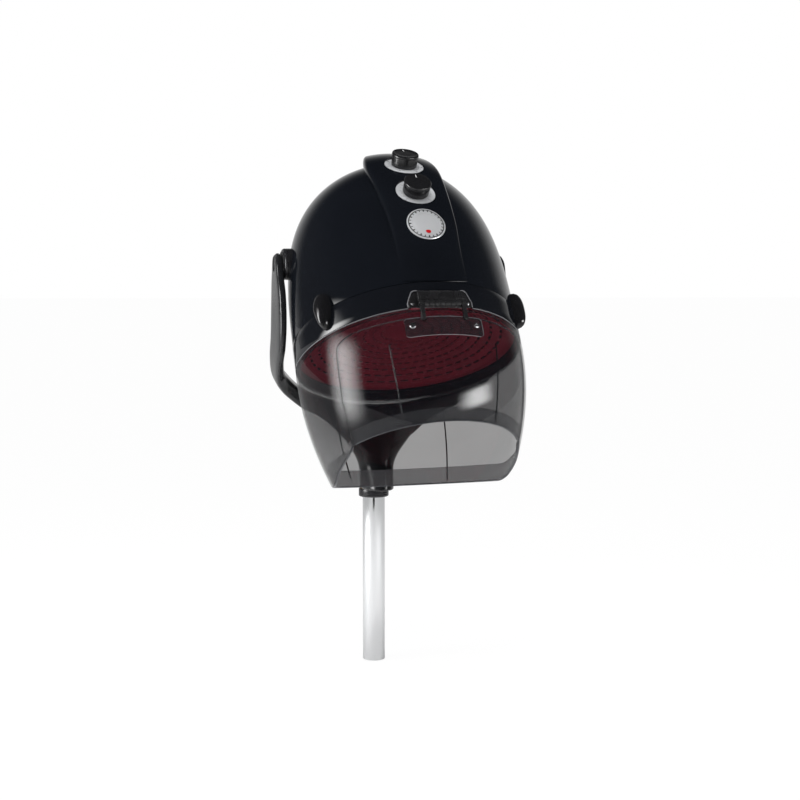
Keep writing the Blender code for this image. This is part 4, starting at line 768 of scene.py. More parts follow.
def under_skin():
    """The room below the cover's outer skin, as a solid, to trim what is built into it."""
    top = sheet("under_skin", 24, 36, lambda c, r: ridge_spot(
        FOOT_PSI + (TAIL_PSI - FOOT_PSI) * (0.04 + 0.92 * r / 36.0), 1.88 * c / 24.0 - 0.94, -0.0005, 0.0))
    face_out(top, EYE)
    thicken(top, 0.030)
    top.data.transform(HOOD)
    return top


for word, place in knob_places.items():
    cup = lathe("well_cup", [(0.0042, -WELL_DEPTH), (WELL_RADIUS, -WELL_DEPTH), (WELL_RADIUS, 0.02),
                             (WELL_RADIUS + RIDGE_WALL, 0.02),
                             (WELL_RADIUS + RIDGE_WALL, -WELL_DEPTH - WELL_FLOOR),
                             (0.0042, -WELL_DEPTH - WELL_FLOOR)], place, 64)
    carve(cup, under_skin(), operation="INTERSECT")
    carve(cover, rod("well_cutter", place @ Matrix.Translation((0, 0, 0.010)), WELL_RADIUS + 0.0006,
                     0.0500, 64))
    carve(cover, cup, operation="UNION")
cover_black = finish("gloss_black_cover", (0.0054, 0.0064, 0.0088), 0.3, 0.05, 0.05, cloud=8.0, grain=560.0,
                     bump=0.010, IOR=1.5)
settle(cover, "hood", cover_black, "control_cover", smooth=40.0)

# ---------------------------------------------------------------- dials, knobs and switches
# Silver dial plates with dark marks printed on them, plain drum knobs with a rounded rim and
# a finely ribbed side on steel shafts, and the switch bodies behind the floor of each well.
DIAL_LOW = -WELL_DEPTH + FIT
DIAL_TOP = DIAL_LOW + 0.0012
KNOB_LOW = DIAL_TOP + 2 * FIT
KNOB_HEIGHT = 0.0203
KNOB_RIBS = 36
satin_silver = finish("dial_satin_silver", (0.60, 0.61, 0.63), 0.05, 0.26, 0.12, cloud=26.0, grain=900.0,
                      bump=0.02, metallic=0.20)
ink = finish("dial_ink_dark", (0.012, 0.012, 0.014), 0.2, 0.35, 0.1, cloud=60.0, grain=700.0, bump=0.02)
knob_black = finish("knob_satin_black", (0.0095, 0.0095, 0.0105), 0.25, 0.15, 0.1, cloud=60.0,
                    grain=1200.0, bump=0.04)
white_ink = finish("pointer_white", (0.72, 0.72, 0.72), 0.05, 0.4, 0.1, cloud=60.0, grain=900.0, bump=0.02)
phenolic = finish("phenolic_brown", (0.10, 0.06, 0.04), 0.25, 0.45, 0.2, cloud=50.0, grain=900.0, bump=0.1)


def printed(name, place, marks, look, thickness=0.00012):
    """Flat marks: each is a list of (x, y) corners, laid just proud of the place's plane."""
    work = bmesh.new()
    for corners in marks:
        work.faces.new([work.verts.new((x, y, 0.0)) for x, y in corners])
    made = raw(name, [])
    work.to_mesh(made.data)
    work.free()
    face_out(made, (0.0, 0.0, -1.0))
    made.data.transform(Matrix.Translation((0.0, 0.0, thickness)))
    thicken(made, thickness)
    made.data.transform(place)
    return wear(made, look)


def numeral(text, size, place):
    """A small printed figure, made a mesh and laid at the place."""
    made = fresh("figure", bpy.ops.object.text_add)
    made.data.body = text
    made.data.size = size
    made.data.align_x = "CENTER"
    made.data.align_y = "CENTER"
    made.data.extrude = 0.00006
    made.data.resolution_u = 3
    bpy.ops.object.convert(target="MESH")
    made.data.transform(place)
    return wear(made, ink)


for word, place in knob_places.items():
    plate = lathe("dial_plate_silver_" + word, [(0.0040, DIAL_LOW), (WELL_RADIUS - FIT, DIAL_LOW),
                                                (WELL_RADIUS - FIT, DIAL_TOP - 0.0003),
                                                (WELL_RADIUS - FIT - 0.0004, DIAL_TOP),
                                                (0.0040, DIAL_TOP)], place)
    wear(plate, satin_silver)
    turns, marks_count = (270.0, 3) if word == "heat" else (300.0, 6)
    marks = []
    fine_marks = marks_count * 5
    for k in range(fine_marks + 1):
        turn = radians(90.0 + turns / 2 - turns * k / fine_marks)
        long_one = k % 5 == 0
        half = 0.00032 if long_one else 0.00018
        low, high = (0.0228, 0.0258) if long_one else (0.0228, 0.0246)
        ahead = Vector((cos(turn), sin(turn)))
        across = Vector((-sin(turn), cos(turn))) * half
        marks.append([tuple(ahead * low - across), tuple(ahead * high - across),
                      tuple(ahead * high + across), tuple(ahead * low + across)])
    printed_marks = printed("marks", place @ Matrix.Translation((0, 0, DIAL_TOP - 0.00002)), marks, ink)
    figures = []
    for k in range(marks_count + 1):
        turn = radians(90.0 + turns / 2 - turns * k / marks_count)
        label = str(k) if word == "heat" else str(10 * k)
        spot = (0.0282 * cos(turn), 0.0282 * sin(turn), DIAL_TOP)
        figures.append(numeral(label, 0.0042, place @ Matrix.Translation(spot)
                               @ Matrix.Rotation(turn - pi / 2, 4, "Z")))
    join(plate, printed_marks, *figures)
    settle(plate, "hood", None, "dial_plate_" + word)

    body = "heat_knob" if word == "heat" else "timer_knob"
    top = KNOB_LOW + KNOB_HEIGHT
    bore_top = KNOB_LOW + 0.0103
    cap = lathe("knob_drum_" + word, [
        (0.0, bore_top), (0.0033, bore_top), (0.0033, KNOB_LOW), (0.0195, KNOB_LOW),
        (0.0201, KNOB_LOW + 0.0006), (0.0203, KNOB_LOW + 0.0020), (0.0205, top - 0.0062),
        (0.0205, top - 0.0056), (0.0209, top - 0.0050), (0.0211, top - 0.0040), (0.0211, top - 0.0024),
        (0.0208, top - 0.0011), (0.0201, top - 0.0003), (0.0191, top), (0.0184, top - 0.0003),
        (0.0179, top - 0.0008), (0.0172, top - 0.0010), (0.0100, top - 0.0009), (0.0, top - 0.0008)], place)
    ribs = []
    for k in range(KNOB_RIBS):
        turn = turn_of(k, KNOB_RIBS)
        ribs.append(rod("rib", place @ Matrix.Translation(
            (0.0206 * cos(turn), 0.0206 * sin(turn), KNOB_LOW + 0.0076)), 0.0006, 0.0108, 8))
    join(ribs[0], *ribs[1:])
    carve(cap, ribs[0])
    wear(cap, knob_black)
    pointer = printed("pointer", place @ Matrix.Translation((0, 0, top - 0.0010)),
                      [[(-0.0005, 0.0105), (0.0005, 0.0105), (0.0005, 0.0170), (-0.0005, 0.0170)]],
                      white_ink, 0.00025)
    join(cap, pointer)
    settle(cap, body, None, "knob_" + word, smooth=30.0)
    dress("shaft_" + word, turned_steel)
    dress("switch_" + word, phenolic)

# ---------------------------------------------------------------- badge
# Round anodised disc glued on the ridge above the hinge: satin silver face with two turned
# rings, a bright edge and a small red dot. It carries no name.
BADGE_RADIUS = 0.0298
BADGE_HEIGHT = 0.1403
badge_psi = psi_at(BADGE_HEIGHT)
badge_spot, badge_out = over_crown(badge_psi, 0.0)
badge_place = stand(badge_spot + badge_out * (FIT + ridge_rise(badge_psi)), badge_out)
BADGE_RINGS = ((0.0, 1.0), (0.25, 1.0), (0.52, 1.0), (0.66, 1.0), (0.68, 0.72), (0.71, 0.72), (0.73, 1.0),
               (0.88, 1.0), (0.90, 0.75), (0.915, 0.75), (0.93, 1.12), (0.985, 1.12), (1.0, 0.80), (1.0, 0.0))
THICK = 0.0012


def cover_lift(x, y):
    """Height of the cover's skin over the badge's plane, found by stepping along the ridge."""
    psi = badge_psi + y / 0.19
    for _ in range(5):
        spot = badge_place.inverted() @ ridge_spot(psi, x / ridge_half(psi))
        psi += (y - spot.y) / 0.19
    return (badge_place.inverted() @ ridge_spot(psi, x / ridge_half(psi))).z


def badge_point(column, row):
    share, lift = BADGE_RINGS[len(BADGE_RINGS) - 1 - row]
    turn = turn_of(column, 72)
    x, y = BADGE_RADIUS * share * cos(turn), BADGE_RADIUS * share * sin(turn)
    return Vector((x, y, cover_lift(x, y) + FIT + THICK * lift))


badge = sheet("badge_disc_satin", 72, len(BADGE_RINGS) - 1, badge_point)
face_out(badge, (0.0, 0.0, -0.05))
badge_silver = finish("badge_satin_silver", (0.78, 0.79, 0.81), 0.05, 0.26, 0.1, cloud=24.0, grain=1300.0,
                      bump=0.02, metallic=0.55)
red_enamel = finish("enamel_red", (0.42, 0.012, 0.016), 0.15, 0.12, 0.08, cloud=40.0, grain=500.0, bump=0.02)
wear(badge, badge_silver, ink)
for face in badge.data.polygons:
    face.material_index = 1 if face.index // 72 in (3, 4, 5) else 0
dot = sheet("badge_dot", 32, 5, lambda c, r: Vector(
    (0.0042 * (1 - r / 5.0) * cos(2 * pi * c / 32), -0.0155 + 0.0042 * (1 - r / 5.0) * sin(2 * pi * c / 32),
     cover_lift(0.0042 * (1 - r / 5.0) * cos(2 * pi * c / 32), -0.0155) + FIT + THICK
     + 0.0003 * sqrt(1 - (1 - r / 5.0) ** 2))))
wear(dot, red_enamel)
ticks = []
for k in range(24):
    turn = 2 * pi * k / 24
    ahead = Vector((cos(turn), sin(turn)))
    across = Vector((-sin(turn), cos(turn))) * (0.0006 if k % 2 else 0.0010)
    corners = [ahead * 0.0232 - across, ahead * 0.0262 - across,
               ahead * 0.0262 + across, ahead * 0.0232 + across]
    ticks.append([Vector((c.x, c.y, cover_lift(c.x, c.y) + FIT + THICK + 0.00008)) for c in corners])
tick_piece = raw("badge_ticks", [c for corners in ticks for c in corners], [],
                 [tuple(range(4 * k, 4 * k + 4)) for k in range(len(ticks))])
face_out(tick_piece, (0.0, 0.0, -0.05))
thicken(tick_piece, 0.0002)
wear(tick_piece, ink)
face_out(dot, (0.0, -0.0155, -0.05))
join(badge, dot, tick_piece)
badge.data.transform(HOOD @ badge_place)
settle(badge, "hood", None, "badge_disc", smooth=30.0)

# ---------------------------------------------------------------- yoke
# One black moulding: a column on the swivel, flaring into a wide plate and two curved
# arms that hold the hood. Fine moulded skin, every edge rounded.
ARM_OUTER = 0.1935
ARM_INNER = 0.1815
YOKE_LEAN = 0.306
YOKE_FOOT = 0.3373
ARM_TOP = PIVOT.z + 0.0165
ARM_FACE = ARM_OUTER - 0.0003
# Outer and inner point of the arm (reach, height), half depth, and reach forward of the sheet.
ARM_STATIONS = [
    (0.000, 0.374, 0.000, 0.446, 0.0080, 0.0), (0.032, 0.376, 0.030, 0.447, 0.0085, 0.0),
    (0.060, 0.392, 0.056, 0.450, 0.0090, 0.0), (0.084, 0.415, 0.080, 0.455, 0.0100, 0.0),
    (0.108, 0.4325, 0.103, 0.462, 0.0120, 0.0), (0.132, 0.4445, 0.126, 0.471, 0.0155, 0.0),
    (0.154, 0.461, 0.1445, 0.484, 0.0200, 0.0), (0.172, 0.4775, 0.159, 0.498, 0.0250, 0.0),
    (0.1845, 0.496, 0.171, 0.512, 0.0300, 0.0050), (0.1905, 0.523, 0.178, 0.533, 0.0355, 0.0190),
    (0.1928, 0.554, 0.1803, 0.559, 0.0400, 0.0340), (ARM_FACE, 0.595, 0.1800, 0.597, 0.0415, 0.0300),
    (ARM_FACE, 0.640, 0.1802, 0.640, 0.0370, 0.0170),
    (ARM_FACE, PIVOT.z - 0.010, ARM_INNER, PIVOT.z - 0.010, 0.0250, 0.0050),
    (ARM_FACE, PIVOT.z + 0.006, ARM_INNER, PIVOT.z + 0.006, 0.0185, 0.0),
    (ARM_FACE - 0.0020, ARM_TOP - 0.004, ARM_INNER + 0.0010, ARM_TOP - 0.004, 0.0120, 0.0),
    (ARM_FACE - 0.0045, ARM_TOP, ARM_INNER + 0.0035, ARM_TOP, 0.0060, 0.0),
]
# Height, half width, half depth and centre (y) of the column.
COLUMN_STATIONS = [
    (0.3016, 0.0270, 0.0430, -0.0210), (0.325, 0.0275, 0.0400, -0.0180), (0.343, 0.0300, 0.0360, -0.0145),
    (0.358, 0.0365, 0.0320, -0.0145), (0.371, 0.0450, 0.0280, -0.0165), (0.386, 0.0560, 0.0220, -0.0195),
    (0.402, 0.0660, 0.0160, -0.0250), (0.418, 0.0740, 0.0110, -0.0310),
]


def eased_row(table, where):
    """A row of a table at a fractional place, on a smooth curve through the rows."""
    index = min(int(where), len(table) - 2)
    part = where - index
    rows = [table[max(0, min(len(table) - 1, index + k))] for k in (-1, 0, 1, 2)]
    return [0.5 * (2 * b + (c - a) * part + (2 * a - 5 * b + 4 * c - d) * part ** 2
                   + (3 * b - a - 3 * c + d) * part ** 3) for a, b, c, d in zip(*rows)]


lean_out = Vector((0.0, 1.0, YOKE_LEAN)).normalized()
ARM_STEPS = 160


def arm_place(column, row):
    where = abs(row - ARM_STEPS) / ARM_STEPS * (len(ARM_STATIONS) - 1)
    side = 1 if row >= ARM_STEPS else -1
    out_x, out_z, in_x, in_z, half, forward = eased_row(ARM_STATIONS, where)
    turn = turn_of(column, 48)
    across = abs(cos(turn)) ** 0.42 * (1 if cos(turn) > 0 else -1)
    deep = abs(sin(turn)) ** 0.42 * (1 if sin(turn) > 0 else -1)
    share = 0.5 + 0.5 * across
    reach, height = out_x * share + in_x * (1 - share), out_z * share + in_z * (1 - share)
    if row in (0, 2 * ARM_STEPS):
        reach, height, deep = (out_x + in_x) / 2, (out_z + in_z) / 2, 0.0
    middle = Vector((side * reach, -YOKE_LEAN * (height - YOKE_FOOT) - forward, height))
    return middle + lean_out * (half * deep)


def column_place(column, row):
    height, half_width, half_depth, centre = eased_row(COLUMN_STATIONS, min(7.0, max(0, row - 1) * 7 / 40))
    turn = turn_of(column, 64)
    if row in (0, 42):
        return Vector((0.0, centre, height))
    return Vector((half_width * cos(turn), centre + half_depth * sin(turn), height))


yoke = seal(sheet("yoke_moulded", 48, 2 * ARM_STEPS, arm_place))
carve(yoke, seal(sheet("yoke_column", 64, 42, column_place)), operation="UNION")
shape(yoke, "REMESH", mode="VOXEL", voxel_size=0.0017)
shape(yoke, "SMOOTH", factor=0.5, iterations=6)
foot_cut = rod("foot_cutter", Matrix.Translation((0.0, 0.0, 0.2016)), 0.12, 0.2, 32)
SWIVEL_DEPTH = 0.0481
swivel_bore = rod("swivel_bore", Matrix.Translation((0.0, 0.0, TUBE_LENGTH + SWIVEL_DEPTH / 2)), 0.0153,
                  SWIVEL_DEPTH, 64)
bores = []
for side in (-1, 1):
    place = Matrix.Translation(PIVOT) @ Matrix.Rotation(side * pi / 2, 4, "Y")
    bores.append(rod("head_bore", place @ Matrix.Translation((0, 0, 0.1971)), 0.0118, 0.0200, 64))
    bores.append(rod("pin_bore", place @ Matrix.Translation((0, 0, 0.1800)), 0.0063, 0.0300, 48))
carve(yoke, foot_cut, swivel_bore, *bores)
yoke_black = finish("moulded_black_yoke", (0.0135, 0.0140, 0.0155), 0.3, 0.11, 0.10, cloud=14.0, grain=900.0,
                    bump=0.030, IOR=1.5)
settle(yoke, "yoke", yoke_black, "yoke_frame", smooth=50.0)

# ---------------------------------------------------------------- tilt pivots
# Each side: a moulded hub on the dome, a dark nylon friction washer, a steel bolt through the
# arm, and a black snap cap with a dished face over the bolt's head.
hub_black = finish("hub_satin_black", (0.014, 0.014, 0.016), 0.25, 0.22, 0.12, cloud=40.0, grain=1000.0,
                   bump=0.05)
nylon = finish("nylon_dark", (0.035, 0.035, 0.037), 0.2, 0.45, 0.15, cloud=60.0, grain=900.0, bump=0.05)
pivot_width, pivot_reach, _, pivot_shift = hood_sizes(PIVOT_HEIGHT)
hub_back = pivot_width * sqrt(1.0 - ((PIVOT_BACK - pivot_shift) / pivot_reach) ** 2) - SHELL_WALL - 0.008
hub_face = ARM_INNER - 0.0012 - 2 * FIT
for side, word in ((-1, "left"), (1, "right")):
    place = Matrix.Translation(PIVOT) @ Matrix.Rotation(side * pi / 2, 4, "Y")
    hub = lathe("hub_boss_stepped_" + word, [
        (0.0063, hub_back), (HUB_RADIUS - 0.004, hub_back), (HUB_RADIUS - 0.0012, hub_back + 0.0012),
        (HUB_RADIUS, hub_back + 0.004), (HUB_RADIUS, hub_face - 0.0062),
        (HUB_RADIUS - 0.0008, hub_face - 0.0056),
        (HUB_RADIUS - 0.0008, hub_face - 0.0048), (HUB_RADIUS, hub_face - 0.0042),
        (HUB_RADIUS - 0.0004, hub_face - 0.0020), (HUB_RADIUS - 0.0014, hub_face - 0.0006),
        (HUB_RADIUS - 0.003, hub_face), (0.0063, hub_face)], place)
    settle(hub, "hood", hub_black, "hub_boss_" + word)
    dress("friction_shim_" + word, nylon)
    dress("pivot_bolt_" + word, turned_steel)
    low = ARM_OUTER - 0.0015 - 0.0016 + FIT
    cap = lathe("pivot_cap_dished_" + word, [
        (0.0, low), (0.0115, low), (0.0115, low + 0.0010), (0.0112, low + 0.0014), (0.0104, low + 0.0016),
        (0.0098, low + 0.0015), (0.0092, low + 0.0011), (0.0070, low + 0.0009), (0.0040, low + 0.0011),
        (0.0, low + 0.0012)], place)
    settle(cap, "yoke", satin_black, "pivot_cap_" + word)

# ---------------------------------------------------------------- visor skirt
# Smoke-tinted clear moulding that hangs from the band round the back and sides. Its free edge is turned back
# inside as a double lip with a round rim bead. The lip is drawn in a paler smoke as painted light, and the rim
# faces and bead in a paler, more opaque smoke as a painted highlight.
VISOR_WALL = 0.0026
FLAP_TOP = 0.0170
FLAP_BOTTOM = 0.1695
SHOULDER_DEPTH = 0.0021
NECK_INSET = 0.0039
TIP_DEPTH = 0.202
BACK_DEPTH = 0.153
TIP_ANGLE = 91.0
TIP_ROUNDING = 0.0100
TIP_SWEEP = 15.0
HEM = 0.026
SEAM_ANGLE = radians(148.0)
SKIRT_COLUMNS = 220


def window_edge(depth):
    """Half angle of the flap's opening at a depth, in degrees, rounded at its upper corner."""
    if depth <= 0.036:
        share = max(0.0, (depth - FLAP_TOP) / 0.019)
        return 54.8 - 12.8 * (1.0 - sqrt(max(0.0, 1.0 - (1.0 - share) ** 2)))
    share = (depth - 0.036) / (FLAP_BOTTOM - 0.036)
    return 54.8 + 6.2 * (0.86 * share + 0.14 * share * share)


def free_edge(angle):
    """Depth of the skirt's lower edge: deepest at the two front tips, shorter behind."""
    tip_y, back_y = on_hood(radians(TIP_ANGLE), -TIP_DEPTH).y, on_hood(pi, -BACK_DEPTH).y
    share = min(1.0, max(0.0, (on_hood(angle, -TIP_DEPTH).y - tip_y) / (back_y - tip_y)))
    past = degrees(min(angle, 2 * pi - angle)) - TIP_ANGLE
    corner = 1.0 - min(1.0, max(0.0, past / TIP_SWEEP))
    return TIP_DEPTH + (BACK_DEPTH - TIP_DEPTH) * share - TIP_ROUNDING * corner * corner


def lip_start(angle):
    """Depth at which the turned-back lip begins, measured at an angle from the brow."""
    away = min(1.0, max(0.0, (min(angle, 2 * pi - angle) - radians(61.0)) / radians(45.0)))
    away = away * away * (3 - 2 * away)
    return FLAP_BOTTOM + (min(FLAP_BOTTOM, free_edge(angle) - HEM - 0.004) - FLAP_BOTTOM) * away


NECK_ROWS = [(0.0120, NECK_INSET), (0.0040, NECK_INSET), (-SHOULDER_DEPTH, NECK_INSET),
             (-SHOULDER_DEPTH, 0.0006), (-SHOULDER_DEPTH - 0.0006, 0.0), (-0.0060, 0.0), (-0.0110, 0.0)]
WALL_ROWS = 46
LIP_ROWS = 14


def skirt_angle(edge, column):
    share = column / SKIRT_COLUMNS
    return edge + (2 * pi - 2 * edge) * (share + 0.035 * sin(2 * pi * share))


def lip_edge(share):
    """Half angle of the face opening at a share of the way down the lip."""
    return radians(61.0 + (TIP_ANGLE - 61.0) * (0.40 * share + 0.60 * share ** 2.6))


def on_lip(angle, share, inset=0.0):
    """Point of the turned-back lip at a share of the way down it."""
    return on_hood(angle, -(lip_start(angle) + (free_edge(angle) - lip_start(angle)) * share), inset)


def skirt_place(column, row):
    if row < len(NECK_ROWS):
        height, inset = NECK_ROWS[row]
        return on_hood(skirt_angle(radians(42.0), column), height, inset)
    row -= len(NECK_ROWS)
    if row <= WALL_ROWS:
        part = (row / WALL_ROWS) ** 1.35
        depth = FLAP_TOP + (FLAP_BOTTOM - FLAP_TOP) * part
        angle = skirt_angle(radians(window_edge(depth)), column)
        return on_hood(angle, -(FLAP_TOP + (lip_start(angle) - FLAP_TOP) * part))
    share = (row - WALL_ROWS) / LIP_ROWS
    return on_lip(skirt_angle(lip_edge(share), column), share)


skirt = sheet("visor_skirt_wall", SKIRT_COLUMNS, len(NECK_ROWS) + WALL_ROWS + LIP_ROWS, skirt_place)
front_rows = NECK_ROWS + [(-FLAP_TOP, 0.0)]
brow_strip = sheet("visor_brow_strip", 60, len(front_rows) - 1, lambda c, r: on_hood(
    radians(-42.0 + 84.0 * c / 60), front_rows[r][0], front_rows[r][1]))
seal(join(skirt, brow_strip), 0.00002)
face_out(skirt, (0.0, 0.0, -0.05))


def tinted(name, colour, alpha, rough):
    """Clear plastic with a smoke tint: see-through by its alpha, glossy, with faint haze and dust."""
    made = finish(name, colour, 0.12, rough, 0.03, cloud=10.0, grain=160.0, bump=0.0003, IOR=1.52,
                  Alpha=alpha)
    tree = made.node_tree
    where = node(tree, "ShaderNodeTexCoord", {}).outputs["Object"]
    dust = node(tree, "ShaderNodeTexNoise", {"Vector": where, "Scale": 6.0, "Detail": 6.0}).outputs["Fac"]
    feed(tree.nodes["Principled BSDF"], {"Alpha": ramp(tree, dust, 0.3, 0.7, alpha - 0.015, alpha + 0.02)})
    return made


smoke = tinted("smoke_clear", (0.0060, 0.0063, 0.0085), 0.44, 0.025)
# The rim faces, the edge beads and the thin lines beside the flap's mould lines are drawn in this paler, more
# opaque smoke: a painted highlight.
rim_painted_highlight = tinted("smoke_rim_painted_highlight", (0.060, 0.062, 0.070), 0.80, 0.10)
seam_dark = tinted("smoke_seam_dark", (0.010, 0.010, 0.012), 0.86, 0.08)
wear(skirt, smoke, rim_painted_highlight, seam_dark)
thicken(skirt, VISOR_WALL, rim=1)
block, _ = notch_block(0.0008, -FRONT - 0.03, NOTCH_BACK + 0.0008, -SHOULDER_DEPTH - 0.0015)
carve(skirt, block)
LIP_INSET = 0.0033
LIP_WALL = 0.0017


def lip_place(column, row):
    share = 0.10 + 0.90 * row / 12.0
    return on_lip(skirt_angle(lip_edge(share), column), share, LIP_INSET)


def piped(name, spots, radius, sides=8):
    """A plain round run along a path of points, closed at its ends."""
    last = len(spots) - 1

    def place(column, row):
        ahead = (spots[min(column + 1, last)] - spots[max(column - 1, 0)]).normalized()
        out = Vector((spots[column].x, spots[column].y, 0.0)).normalized()
        across = ahead.cross(out).normalized()
        out = across.cross(ahead)
        turn = turn_of(row, sides)
        swell = 1e-6 if column in (0, last) else radius
        return spots[column] + (out * cos(turn) + across * sin(turn)) * swell
    return seal(sheet(name, last, sides, place))


# The turned-back lip is drawn in a paler smoke than the wall: painted light.
lip_painted_light = tinted("smoke_lip_painted_light", (0.13, 0.132, 0.140), 0.46, 0.08)
lip = sheet("visor_lip", SKIRT_COLUMNS, 12, lip_place)
face_out(lip, (0.0, 0.0, -0.1))
wear(lip, lip_painted_light, rim_painted_highlight, seam_dark)
thicken(lip, LIP_WALL, rim=1)


def paint(piece, number):
    """Put every face of a piece on one of the visor's three finishes."""
    wear(piece, smoke, rim_painted_highlight, seam_dark)
    for face in piece.data.polygons:
        face.material_index = number
    return piece


EDGE_INSET = 0.0026
shares = [k / LIP_ROWS for k in range(LIP_ROWS + 1)]
edge_run = [on_lip(lip_edge(share), share, EDGE_INSET) for share in shares]
for k in range(1, 161):
    angle = skirt_angle(radians(TIP_ANGLE), k * SKIRT_COLUMNS / 160)
    edge_run.append(on_hood(angle, -free_edge(angle), EDGE_INSET))
edge_run += [on_lip(2 * pi - lip_edge(share), share, EDGE_INSET) for share in shares[-2::-1]]
edge_bead = paint(piped("visor_edge", edge_run, 0.0014), 1)
seams = []
for angle in (-SEAM_ANGLE, SEAM_ANGLE):
    run = [on_hood(angle, -(0.006 + (free_edge(angle) - 0.008) * k / 40.0), VISOR_WALL + 0.0004)
           for k in range(41)]
    seams.append(paint(piped("visor_seam", run, 0.0012), 2))
join(skirt, lip, edge_bead, *seams)
skirt.data.transform(HOOD)
settle(skirt, "hood", None, "visor_skirt", smooth=40.0)

# ---------------------------------------------------------------- front flap
# The lifting window, pressed from the same smoke sheet and curved to the same form, with a lip turned back
# along its lower edge and two fine mould lines. The lip is drawn in a paler smoke as painted light. Its rims,
# its edge bead and a thin pale line beside each mould line are painted highlights.
FLAP_GAP = 0.0010
FLAP_COLUMNS = 140
FLAP_ROWS = 64
LINE_ANGLE = radians(28.0)
LINE_TOP = 0.050


def flap_angle(depth, column):
    edge = radians(window_edge(max(FLAP_TOP, depth - 0.7 * FLAP_GAP)))
    edge -= FLAP_GAP / hood_sizes(-depth)[0]
    return -edge + 2 * edge * column / FLAP_COLUMNS


def flap_place(column, row, inset=0.0):
    depth = FLAP_TOP + FLAP_GAP + (FLAP_BOTTOM - FLAP_TOP - FLAP_GAP) * (row / FLAP_ROWS) ** 1.35
    return on_hood(flap_angle(depth, column), -depth, inset)


def flap_lip_place(column, row):
    depth = FLAP_BOTTOM - 0.019 * (1 - row / 10.0)
    return on_hood(flap_angle(depth, column), -depth, LIP_INSET)


flap = sheet("front_flap_window", FLAP_COLUMNS, FLAP_ROWS, flap_place)
face_out(flap, (0.0, 0.0, -0.05))
flap_lip = sheet("flap_lip", FLAP_COLUMNS, 10, flap_lip_place)
face_out(flap_lip, (0.0, 0.0, -0.1))
# The flap's turned-back lip is drawn in a paler smoke than the flap: painted light.
flap_hem_painted_light = tinted("smoke_flap_lip_painted_light", (0.30, 0.305, 0.320), 0.50, 0.08)
for piece, wall, first in ((flap, VISOR_WALL, smoke), (flap_lip, LIP_WALL, flap_hem_painted_light)):
    thicken(wear(piece, first, rim_painted_highlight, seam_dark), wall, rim=1)
edge_depth = FLAP_BOTTOM - 0.0006
run = [on_hood(flap_angle(edge_depth, k), -edge_depth, EDGE_INSET) for k in range(FLAP_COLUMNS + 1)]
flap_edge = paint(piped("flap_edge", run, 0.0014), 1)
lines = []
for sign in (-1, 1):
    # Each mould line is a dark seam with a thin pale line beside it, and the pale line is a painted highlight.
    for shift, radius, number in ((0.0, 0.0007, 2), (0.0075, 0.0004, 1)):
        angle = sign * LINE_ANGLE + shift
        run = [on_hood(angle, -(LINE_TOP + (FLAP_BOTTOM - LINE_TOP - 0.002) * k / 40.0), VISOR_WALL + 0.0003)
               for k in range(41)]
        lines.append(paint(piped("flap_line", run, radius, 6), number))
for side in (0, FLAP_COLUMNS):
    run = [flap_place(side, k, 0.0010) for k in range(FLAP_ROWS + 1)]
    lines.append(paint(piped("flap_outline", run, 0.0009), 2))
join(flap, flap_lip, flap_edge, *lines)
flap.data.transform(HOOD)
settle(flap, "flap", None, "front_flap", smooth=40.0)

# ---------------------------------------------------------------- flap hinge
# A ribbed black block and its back plate fill the band's notch. A steel pin joins the
# block's barrel to the smoke leaf that two cross-head screws hold on the flap.
PIN_FORWARD = 0.1945
PIN_HEIGHT = 0.0027
BARREL = 0.0052
BLOCK_HALF = 0.0350
LEAF_HALF = 0.0585
LEAF_TOP = FLAP_TOP + 0.0016
LEAF_DROP = 0.0300
LEAF_WALL = 0.0016
PLATE_FRONT = -FRONT + 0.0067
FIXED_HALF = BLOCK_HALF - 0.0062 - FIT
hinge_black = finish("hinge_satin_black", (0.013, 0.013, 0.014), 0.25, 0.20, 0.12, cloud=50.0, grain=1200.0,
                     bump=0.05)
bright_steel = finish("screw_bright_steel", (0.78, 0.78, 0.80), 0.05, 0.14, 0.1, cloud=80.0, grain=900.0,
                      bump=0.03, metallic=1.0)


def bar(name, low, high, rounding=0.0):
    """A block between two corners with rounded edges."""
    made = fresh(name, bpy.ops.mesh.primitive_cube_add, size=1.0)
    low, high = Vector(low), Vector(high)
    made.data.transform(Matrix.Translation((low + high) / 2) @ Matrix.Diagonal((*(high - low), 1.0)))
    return soften(made, rounding) if rounding else made


plate, _ = notch_block(-FIT, PLATE_FRONT, PLATE_FRONT + 0.0030, FIT)
plate.name = plate.data.name = "hinge_back_plate"
soften(plate, 0.0005)
plate.data.transform(HOOD)
settle(plate, "hood", hinge_black, "hinge_bracket")

pin_place = Matrix.Translation((0.0, -PIN_FORWARD, PIN_HEIGHT)) @ Matrix.Rotation(pi / 2, 4, "Y")
block = bar("hinge_block_ribbed", (-BLOCK_HALF, -PIN_FORWARD - 0.0008, PIN_HEIGHT + 0.0062),
            (BLOCK_HALF, PLATE_FRONT - FIT, NOTCH_TOP - 0.004), 0.0007)
parts = [bar("web", (-FIXED_HALF, -PIN_FORWARD, PIN_HEIGHT - 0.003),
             (FIXED_HALF, PLATE_FRONT - FIT, PIN_HEIGHT + 0.008), 0.0004)]
for k in range(18):
    x = -BLOCK_HALF + 0.0040 + (2 * BLOCK_HALF - 0.0080) * k / 17.0
    parts.append(bar("rib", (x - 0.0010, -PIN_FORWARD - 0.0015, PIN_HEIGHT + 0.0092),
                     (x + 0.0010, -PIN_FORWARD + 0.0010, NOTCH_TOP - 0.0066), 0.0004))
barrel_run = [(0.0021, -FIXED_HALF)]
knuckles = 7
